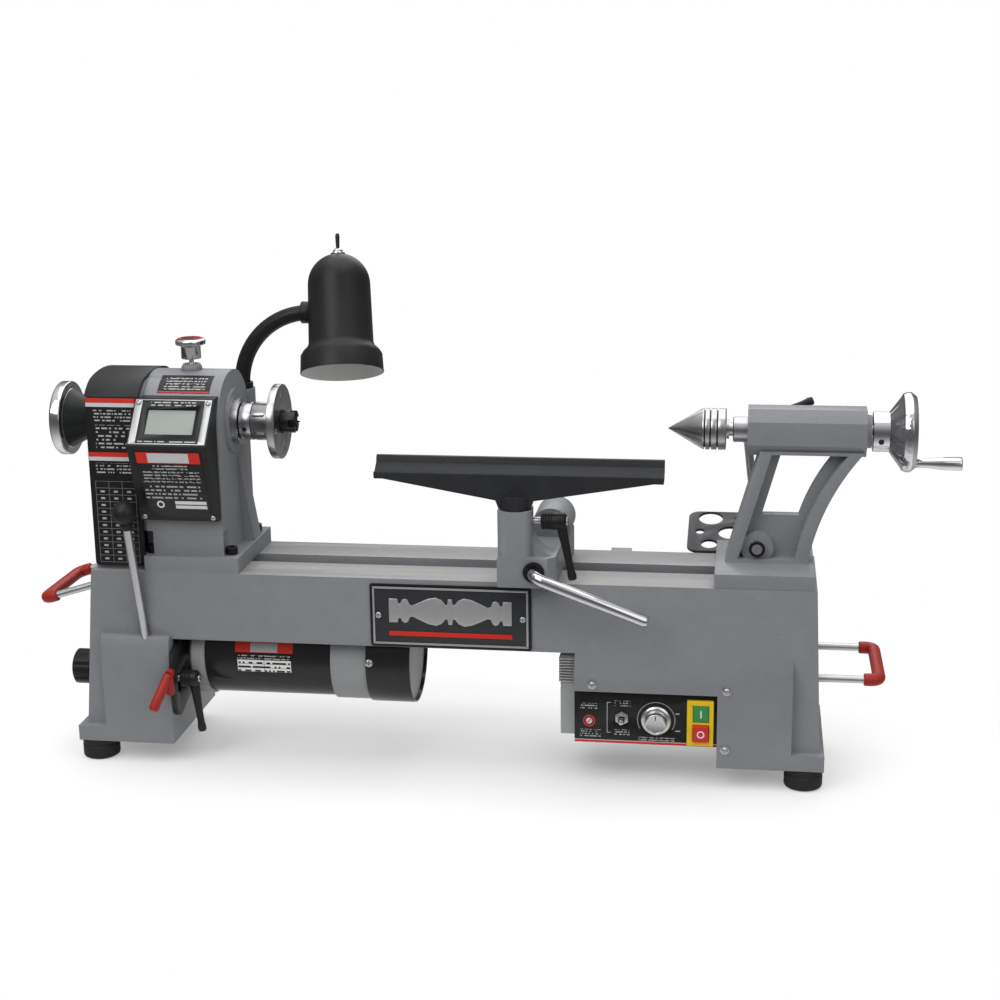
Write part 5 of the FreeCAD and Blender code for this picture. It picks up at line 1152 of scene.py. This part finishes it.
@dataclass
class Headstock:
    """Headstock casting, belt cover and lid, readout, index pin and bolts."""

    bolt_spots: tuple[tuple[float, float], ...] = ((64.5, -47), (64.5, 47), (152, -47), (152, 47))
    flange: float = 17.0
    tilt: float = -40.7
    slope: float = 19.3
    upper: Point = (103.0, -78.5, 166.0)
    lower: Point = (103.0, -81.75, 101.0)

    def build(self) -> None:
        """Make every piece of the headstock."""
        recast("headstock", 2.6, "head_enamel", "base", 3)
        recast("belt_cover", 1.2, "cover_print", "base")
        recast("belt_lid", 1.2, "black_enamel", "lid")
        dress("bright_zinc", "lid_hinge_pin")
        dress("ground_steel", "spindle_bearings")
        self.bolts()
        self.readout()
        self.index()

    def bolts(self) -> None:
        """Socket-head bolts and their washers."""
        x, y = self.bolt_spots[0]
        bolt = joined([socket_screw(6.5, 8.0, at(x, y, self.flange), Axis.UP.vector),
                       turned(((-25, 0.1), (-25, 4), (0.5, 4), (0.5, 0.1)), at(x, y, self.flange),
                              Axis.UP.vector, 20, 0.2)])
        steps = [at(bx, by, 0) - at(x, y, 0) for bx, by in self.bolt_spots[1:]]
        fit(copied(bolt, steps), "frame_bolts_socket", "base", "oxide_steel_and_groove_shade", ["frame_bolts"])
        fit(socket_screw(4.2, 3.0, at(140, -15, 186), Vector((0.3, -0.45, 0.84)).normalized()),
            "bearing_grub_screw", "base", "bright_zinc")

    def readout(self) -> None:
        """Housing, silver frame plate, printed plates, display and corner screws."""
        recast("readout_housing", 1.0, "black_enamel", "base")
        dress("display_pane", "readout_window")
        zero = Vector((0, 0, 0))
        frame_plate = slab(Vector((-41, -0.9, -26.5)) * MM, Vector((41, 0.3, 26.5)) * MM, 0.3)
        frame_plate = carved(frame_plate, [slab(Vector((-27.5, -3, -16.5)) * MM,
                                                Vector((27.5, 3, 16.5)) * MM, 0.0)])
        fit(lean(frame_plate, at(*self.upper), self.tilt), "readout_frame_plate", "base", "satin_plate")
        label = slab(Vector((-33.5, -1.3, -25.5)) * MM, Vector((33.5, -0.6, 25.5)) * MM, 0.3)
        label = carved(label, [slab(Vector((-26, -3, -15)) * MM, Vector((26, 3, 15)) * MM, 0.0)])
        fit(lean(label, at(*self.upper), self.tilt), "readout_label", "base", "display_print")
        plate = slab(Vector((-36, -0.7, -41)) * MM, Vector((36, 0.3, 40)) * MM, 0.4)
        fit(lean(plate, at(*self.lower), self.slope), "readout_data_plate", "base", "plate_print")
        screws = []
        for x in (-37.2, 37.2):
            top = pan_screw(2.9, zero + Vector((x, -0.9, 22.5)) * MM, Axis.FRONT.vector, 1.7)
            screws.append(lean(top, at(*self.upper), self.tilt))
            foot = pan_screw(2.9, zero + Vector((x, -0.2, -41.5)) * MM, Axis.FRONT.vector, 1.7)
            screws.append(lean(foot, at(*self.lower), self.slope))
        fit(joined(screws), "readout_screws", "base", "bright_zinc")

    def index(self) -> None:
        """Index pin's bush and knurled plunger with a printed cap."""
        recast("index_bush", 0.4, "cast_enamel", "base")
        recast("index_pin", 0.6, "pin_chrome", "index_plunger")
        cap = turned(((0, 0.1), (0, 13.2), (0.4, 13.0), (0.4, 0.1)), at(103.5, 0, 241), Axis.UP.vector,
                     48, 0.1)
        fit(cap, "index_pin_disc", "index_plunger", "plate_black_gloss")
        ring = turned(((0.3, 10.4), (0.3, 12.6), (0.6, 12.6), (0.6, 10.4)), at(103.5, 0, 241),
                      Axis.UP.vector, 48, 0.0, True)
        fit(ring, "index_pin_ring", "index_plunger", "mark_red")


@dataclass
class Spindle:
    """Spindle with its collar, pulley, faceplate, spur centre and outboard wheel."""

    up: float = 152.4

    def build(self) -> None:
        """Make every piece that turns with the spindle."""
        recast("spindle", 0.3, "turned_steel", "spindle_set")
        dress("turned_aluminium", "spindle_pulley")
        dress("belt_rubber_ribbed", "drive_belt")
        recast("faceplate", 0.5, "turned_steel", "spindle_set")
        recast("spur_centre", 0.4, "oxide_steel_and_groove_shade", "spindle_set")
        nut = turned(((172, 16), (172, 21.2), (185.5, 21.2), (185.5, 16)), at(0, 0, self.up),
                     Axis.RIGHT.vector, 6, 0.7, True)
        fit(nut, "faceplate_hub_flats", "spindle_set", "turned_steel")
        grub = [socket_screw(2.6, 1.2, at(164, -19.2, self.up - 5.2), Vector((0, -0.965, -0.26))),
                socket_screw(2.2, 1.0, at(189.6, -19.4, self.up + 3), Vector((0, -0.99, 0.15)))]
        fit(joined(grub), "collar_grub_screws", "spindle_set", "oxide_steel_and_groove_shade")
        wheel = softened("outboard_handwheel", 0.8)
        fit(wheel, "outboard_handwheel_finished", "spindle_set", "polished_chrome",
            ["outboard_handwheel"])
        centre = at(0, 0, self.up)
        second_finish(wheel, "black_enamel", lambda place, normal: (
            place.x > at(-33, 0, 0).x and 0.0175 < math.hypot(place.y - centre.y,
                                                              place.z - centre.z) < 0.0372))


@dataclass
class Motor:
    """Motor shell, bells, mounting plate, tension handle and the shaft with its pulley."""

    axis_z: float = -103.0

    def build(self) -> None:
        """Make every piece of the motor."""
        shell = recast("motor_body", 0.8, "motor_print", "motor")
        end = at(335, 0, 0).x
        second_finish(shell, "sheet_enamel", lambda place,
                      normal: place.x > end and abs(normal.x) > 0.9 and
                      math.hypot(place.y - at(0, 0, 0).y, place.z - at(0, 0, self.axis_z).z) < 0.0518)
        recast("motor_end_bells", 1.0, "bell_enamel", "motor")
        recast("motor_plate", 0.8, "black_enamel", "motor")
        dress("turned_aluminium", "motor_pulley")
        out = Vector((0, -0.996, 0.09))
        spot = at(299, 0, self.axis_z) + out * 54.4 * MM
        fit(pan_screw(4.4, spot, out, 2.4), "fan_cover_screw", "motor", "bright_zinc")
        self.handle()

    def handle(self) -> None:
        """Red dipped handle: a long leg and a short one bent back to the plate."""
        top = at(87, -86, -108)
        foot = at(76.5, -111, -139)
        down = (foot - top).normalized()
        long_leg = Bar(top, down, 4.2, 20).begin().run(1.4, 1.3)
        long_leg = long_leg.run((foot - top).length / MM - 2.4).run(2.2, 0.78).end(0.8)
        short = at(87.5, -85, -131)
        back = (short - top).normalized()
        short_leg = Bar(top, back, 3.8, 20).begin().run(1.2, 1.25).run(20).run(2.0, 0.8).end(0.6)
        root = Bar(at(88, -80.5, -107), (top - at(88, -80.5, -107)).normalized(), 4.6,
                   20).begin().run(6.2).end(0.6)
        fit(joined([long_leg, short_leg, root]), "tension_handle_dipped", "motor", "red_dip",
            ["tension_handle"])


@dataclass
class Access:
    """Access door with its lobed knob, and the knock-out bar."""

    ball: Point = (48.5, -83.0, 68.7)
    ball_radius: float = 13.0

    def build(self) -> None:
        """Make the door, knob and bar."""
        recast("access_door", 0.8, "cast_enamel", "door")
        recast("door_knob", 1.4, "black_moulded", "knob", 3)
        bar = softened("knockout_bar", 0.4)
        fit(bar, "knockout_bar_finished", "bar", "drawn_steel", ["knockout_bar"])
        middle = at(*self.ball)
        second_finish(bar, "black_moulded", lambda place,
                      normal: (place - middle).length < (self.ball_radius + 0.3) * MM)
        lean_line = (at(57.5, -68.6, -71) - middle).normalized()
        collar = turned(((10.5, 0.1), (10.5, 7.2), (14, 7.0), (18.5, 6.0), (18.5, 0.1)), middle,
                        lean_line, 32, 0.5)
        fit(collar, "knockout_bar_collar", "bar", "black_moulded")


@dataclass
class Controls:
    """Control box, panel, switch with its two buttons, dial and toggle."""

    panel: float = -69.0
    dial: Point = (606.5, -69.0, -144.0)
    toggle: Point = (570.7, -69.0, -143.0)
    fin_count: int = 9
    fin_pitch: float = 3.1
    fin_top: float = -83.0
    fin_left: float = 503.6
    fin_right: float = 519.8
    fin_front: float = -58.4

    def build(self) -> None:
        """Make every piece of the controls."""
        recast("control_box", 0.35, "sheet_enamel", "base", 1)
        recast("control_panel", 0.5, "panel_print", "base")
        recast("power_switch_frame", 0.8, "yellow_moulded", "base")
        recast("start_button", 0.8, "green_moulded", "start")
        recast("stop_button", 0.8, "red_moulded", "stop")
        middle = at(653, 0, -133.75)
        fit(slab(middle + Vector((-0.7, -75.3, -4.2)) * MM, middle + Vector((0.7, -74.7, 4.2)) * MM,
                 0.2),
            "start_mark", "start", "mark_white")
        ring = turned(((78.1 - 0.4, 2.7), (78.1 - 0.4, 3.9), (78.3, 3.9), (78.3, 2.7)),
                      at(653, 0, -154.75),
                      Axis.FRONT.vector, 32, 0.1, True)
        fit(ring, "stop_mark", "stop", "mark_white")
        self.knob()
        self.switch()
        self.fins()

    def fins(self) -> None:
        """Cooling fins across the upper corner of the control box."""
        pitch, thick = self.fin_pitch, self.fin_pitch * 0.45
        fins = []
        for index in range(self.fin_count):
            top = self.fin_top - index * pitch
            fins.append(slab(at(self.fin_left, self.fin_front, top - thick),
                             at(self.fin_right, -20, top), 0.15))
        fit(joined(fins), "control_box_fins", "base", "bright_zinc")

    def knob(self) -> None:
        """Silver dial: skirt, fluted grip and a pointer line."""
        out = Axis.FRONT.vector
        spot = at(*self.dial)
        skirt = turned(((-8, 0.1), (-8, 4), (0.6, 4), (0.6, 15.8), (2.2, 15.8), (3.4, 14.6),
                        (4.2, 12.6), (4.2, 0.1)),
                       spot, out, 64, 0.3)
        grip = turned(((3.8, 0.1), (3.8, 12.2), (14.0, 11.2), (14.6, 10.6), (14.6, 9.4), (14.1, 9.0),
                       (14.1, 0.1)),
                      spot, out, 26, 0.45)
        fit(joined([skirt, grip]), "speed_knob_fluted", "speed", "satin_aluminium", ["speed_knob"])
        line = slab(at(606.0, -83.5, -139), at(607.0, -82.6, -133.6), 0.15)
        fit(line, "speed_knob_pointer", "speed", "black_moulded")

    def switch(self) -> None:
        """Toggle lever, and its hexagonal nut on the panel."""
        out = Axis.FRONT.vector
        spot = at(*self.toggle)
        nut = joined([turned(((0, 3.6), (0, 7.6), (2.2, 7.6), (2.2, 3.6)), spot, out, 6, 0.4, True),
                      turned(((0, 3.5), (0, 4.9), (4.6, 4.9), (4.6, 3.5)), spot, out, 32, 0.3, True)])
        fit(nut, "toggle_nut", "base", "bright_zinc")
        lever = turned(((-8, 0.1), (-8, 2.4), (3, 2.4), (9, 2.9), (12.5, 3.2), (14.4, 2.4), (15, 1.0),
                        (15, 0.1)),
                       spot, out, 24, 0.2)
        fit(lever, "direction_lever_turned", "direction", "polished_chrome", ["direction_lever"])


@dataclass
class Lamp:
    """Work lamp: bent arm, collar, spun shade with a white inside, bulb and switch."""

    apex: Point = (246.4, 90.0, 320.5)
    rim: Point = (258.0, 42.0, 198.0)
    stem: Point = (139.0, 66.0, 150.0)
    radius: float = 34.0
    mouth: float = 45.5
    length: float = 131.6
    wall: float = 1.8

    def build(self) -> None:
        """Make every piece of the lamp."""
        down = (at(*self.rim) - at(*self.apex)).normalized()
        arm = Bar(at(*self.stem), Axis.UP.vector, 8.5, 36).begin().run(30)
        arm = arm.turn(Axis.RIGHT.vector, 80, 90, 22).end(0.5)
        fit(arm, "lamp_gooseneck_smooth", "lamp_arm", "lamp_satin", ["lamp_gooseneck"])
        collar = turned(((0, 8.6), (0, 11.6), (8, 11.6), (8, 8.6)),
                        at(*self.stem) + Vector((0, 0, 24.5)) * MM,
                        Axis.UP.vector, 40, 0.8, True)
        fit(collar, "lamp_socket_collar", "base", "lamp_satin")
        self.shade(down)
        dress("frosted_bulb", "lamp_bulb")
        dress("lamp_satin", "lamp_switch")
        cap = turned(((0.4, 0.1), (0.4, 8.2), (-1.2, 8.0), (-1.2, 5.4), (-4.2, 5.4), (-6.0, 3.6),
                      (-6.0, 0.1)),
                     at(*self.apex), down, 32, 0.3)
        fit(cap, "lamp_switch_nut", "lamp_head", "polished_chrome")

    def shade(self, down: Vector) -> None:
        """Spun shade with a domed top, a step at the flare and a rolled rim."""
        dome = []
        steps = 12
        for step in range(1, steps + 1):
            turn = math.radians(90 * step / steps)
            dome.append((self.radius * (1 - math.cos(turn)), self.radius * math.sin(turn)))
        outer = [(0.0, 2.2)] + dome + [(99, self.radius + 1.2), (103, 36.6), (107.5, 41.2),
                                       (112.5, self.mouth - 1.2),
                                       (self.length - 1.6, self.mouth - 0.4), (self.length, self.mouth)]
        inner = [(self.length, self.mouth - self.wall), (113, self.mouth - self.wall - 1.4),
                 (104, 35.4), (99, self.radius - self.wall + 1)]
        inner += [(along + self.wall, radius * (self.radius - self.wall) / self.radius) for along,
                  radius in reversed(dome)]
        inner += [(self.wall, 2.2)]
        shade = turned(outer + inner, at(*self.apex), down, 72, 0.35, True)
        fit(shade, "lamp_shade_spun", "lamp_head", "lamp_satin", ["lamp_shade"])
        apex = at(*self.apex)

        def inside(place: Vector, normal: Vector) -> bool:
            """Whether a face looks towards the shade's axis."""
            along = (place - apex).dot(down)
            outwards = place - apex - down * along
            return normal.dot(outwards) < -0.2 * outwards.length or (normal.dot(down) > 0.5 and along < 0.04)

        second_finish(shade, "lamp_white", inside)
        side = at(216.5, 66, 260)
        fit(turned(((-7, 8.6), (-7, 12), (3, 12), (3, 8.6)), side, Axis.RIGHT.vector, 40, 0.8, True),
            "lamp_head_collar", "lamp_head", "lamp_satin")


@dataclass
class ToolRest:
    """Banjo with its clamp, cam lever, post, rest and lock."""

    cam: Point = (481.0, 66.0, 17.5)
    swing: Point = (0.937, 0.0, -0.349)

    def build(self) -> None:
        """Make every piece of the tool rest."""
        dress("oxide_steel_and_groove_shade", "banjo_clamp_plate")
        dress("drawn_steel", "banjo_eyebolt", "tool_rest_post")
        recast("banjo", 2.6, "cast_enamel", "banjo_casting", 3)
        recast("tool_rest", 1.3, "rough_iron", "rest", 3)
        lever = Bar(at(*self.cam), Axis.FRONT.vector, 7.4, 32).begin().run(148).swell(0.84).run(6).turn(
            Vector(self.swing).normalized(), 14, 90, 10).run(44).run(64).run(3.5, 0.82).end(0.8)
        fit(lever, "banjo_lever_bent", "cam", "polished_chrome", ["banjo_lever"])
        washer = turned(((84.3, 7.8), (84.3, 11), (87.2, 11), (87.2, 7.8)), at(481, 0, 17.5),
                        Axis.FRONT.vector, 40, 0.5, True)
        fit(washer, "cam_washer", "banjo_casting", "oxide_steel_and_groove_shade")
        RatchetLever("rest_lock", "rest_lock", "tool_rest_lock", at(487, -67, 67.5), length=26,
                     lean=12).build()


@dataclass
class Tailstock:
    """Tailstock casting, quill, live centre, handwheel, crank and locks."""

    up: float = 152.4
    cone_tip: float = 612.0
    cone_end: float = 647.6
    centre_end: float = 672.0
    centre_radius: float = 21.4
    grooves: tuple[float, ...] = (649.4, 655.2, 662.4)

    def build(self) -> None:
        """Make every piece of the tailstock."""
        recast("tailstock", 2.4, "cast_enamel", "tail", 3)
        dress("oxide_steel_and_groove_shade", "tailstock_clamp")
        dress("polished_chrome", "tailstock_clamp_lever")
        dress("turned_steel", "quill")
        self.live_centre()
        recast("tailstock_handwheel", 1.2, "polished_chrome", "handwheel", 3)
        recast("crank_handle", 0.6, "polished_chrome", "crank")
        grub = socket_screw(2.8, 1.4, at(828, -19.2, self.up - 6.5), Vector((0, -0.95, -0.31)))
        fit(grub, "handwheel_grub_screw", "handwheel", "oxide_steel_and_groove_shade")
        clip = turned(((21.2, 5.4), (21.2, 8.4), (22.4, 8.4), (22.4, 5.4)), at(706.3, 0, 30.3),
                      Axis.FRONT.vector, 40, 0.2, True)
        fit(clip, "cam_shaft_clip", "tail", "oxide_steel_and_groove_shade")
        swing = Matrix.Rotation(math.radians(-110), 4, "Y") @ Matrix.Rotation(math.pi / 2, 4, "Z")
        RatchetLever("quill_lock", "quill_lock", "quill_lock_lever", at(703, 24.5, self.up),
                     swing).build()

    def live_centre(self) -> None:
        """Turned cone and head with three cut grooves, with painted shade in the dark oxide finish at their
        bottoms.
        """
        radius, groove = self.centre_radius, self.centre_radius - 2.2
        head = [(self.cone_tip, 0.15), (self.cone_end, radius - 0.6), (self.cone_end + 1.2, radius)]
        for start in self.grooves:
            head += [(start, radius), (start, groove), (start + 1.6, groove), (start + 1.6, radius)]
        head += [(self.centre_end - 0.8, radius), (self.centre_end, radius - 0.8),
                 (self.centre_end, 7.2)]
        centre = fit(turned(head, at(0, 0, self.up), Axis.RIGHT.vector, 96, 0.15),
                     "live_centre_grooved", "centre",
                     "turned_steel", ["live_centre"])
        axis = at(0, 0, self.up)
        # Painted shade: the groove bottoms take the dark oxide finish to stand for the shade inside the
        # grooves.
        second_finish(centre, "oxide_steel_and_groove_shade", lambda place, normal: (
            place.x > at(self.cone_end, 0, 0).x and
            math.hypot(place.y - axis.y,
                       place.z - axis.z) < (groove + 0.4) * MM and abs(normal.x) < 0.5))


@dataclass
class Studio:
    """Pale floor, soft lights and the camera."""

    camera: Point = (698.289, -1791.036, 535.267)
    yaw: float = 0.146
    pitch: float = 0.251
    roll: float = -0.013
    lens: float = 63.29
    reach: float = 520.0
    aim: Point = (BED_MIDDLE, 0, 60)
    lights: tuple[tuple[str, Point, float, float], ...] = (
        ("key", (-500, -1500, 1500), 1.4, 19), ("fill", (1700, -1300, 900), 1.4, 7),
        ("top", (350, 200, 1900), 2.0, 18), ("rim", (300, 1700, 1300), 1.4, 10))

    def build(self) -> None:
        """Set the stage."""
        self.floor()
        for name, spot, size, power in self.lights:
            self.light(name, at(*spot), size, power)
        world = bpy.data.worlds.new("studio")
        bpy.context.scene.world = world
        Sky(world)
        bpy.context.scene.view_settings.view_transform = "Standard"
        self.view()

    def floor(self) -> None:
        """Plain pale floor under the feet."""
        deselect()
        bpy.ops.mesh.primitive_plane_add(size=60, location=(0, 0, CAD_BOX[0][2] - 0.0005))
        floor = bpy.context.object
        floor.name = "floor"
        floor.data.materials.append(Ground(self.reach).material)

    def light(self, name: str, spot: Vector, size: float, power: float) -> None:
        """One square soft light aimed at the machine."""
        deselect()
        aim = at(*self.aim) - spot
        bpy.ops.object.light_add(type="AREA", location=spot,
                                 rotation=tuple(aim.to_track_quat("-Z", "Y").to_euler()))
        lamp = bpy.context.object
        lamp.name = "light_" + name
        lamp.data.size = size
        lamp.data.energy = power

    def view(self) -> None:
        """The camera."""
        forward = Vector((-math.sin(self.yaw) * math.cos(self.pitch),
                          math.cos(self.yaw) * math.cos(self.pitch),
                          -math.sin(self.pitch)))
        right = Vector((math.cos(self.yaw), math.sin(self.yaw), 0))
        up = right.cross(forward)
        across = right * math.cos(self.roll) + up * math.sin(self.roll)
        upright = up * math.cos(self.roll) - right * math.sin(self.roll)
        turn = Matrix((across, upright, -forward)).transposed().to_4x4()
        deselect()
        bpy.ops.object.camera_add()
        camera = bpy.context.object
        camera.matrix_world = Matrix.Translation(at(*self.camera)) @ turn
        camera.data.lens = self.lens
        camera.data.sensor_width = 36
        camera.data.clip_end = 100
        bpy.context.scene.camera = camera


def main() -> None:
    """Build the machine and its stage."""
    logging.basicConfig(level=logging.INFO, format="%(message)s")
    tension = Matrix.Rotation(math.radians(4), 4, "X")
    for assembly in (Bed(), Headstock(), Spindle(), Motor(), Access(), Controls(), Lamp(), ToolRest(),
                     Tailstock(),
                     RatchetLever("tension_lock", "tension_lock", "tension_lock_lever",
                                  at(92.2, -62, -120), tension,
                                  length=20, lean=5),
                     Studio()):
        assembly.build()
        LOG.info("%s done", type(assembly).__name__)
    deselect()


if __name__ == "__main__":
    main()
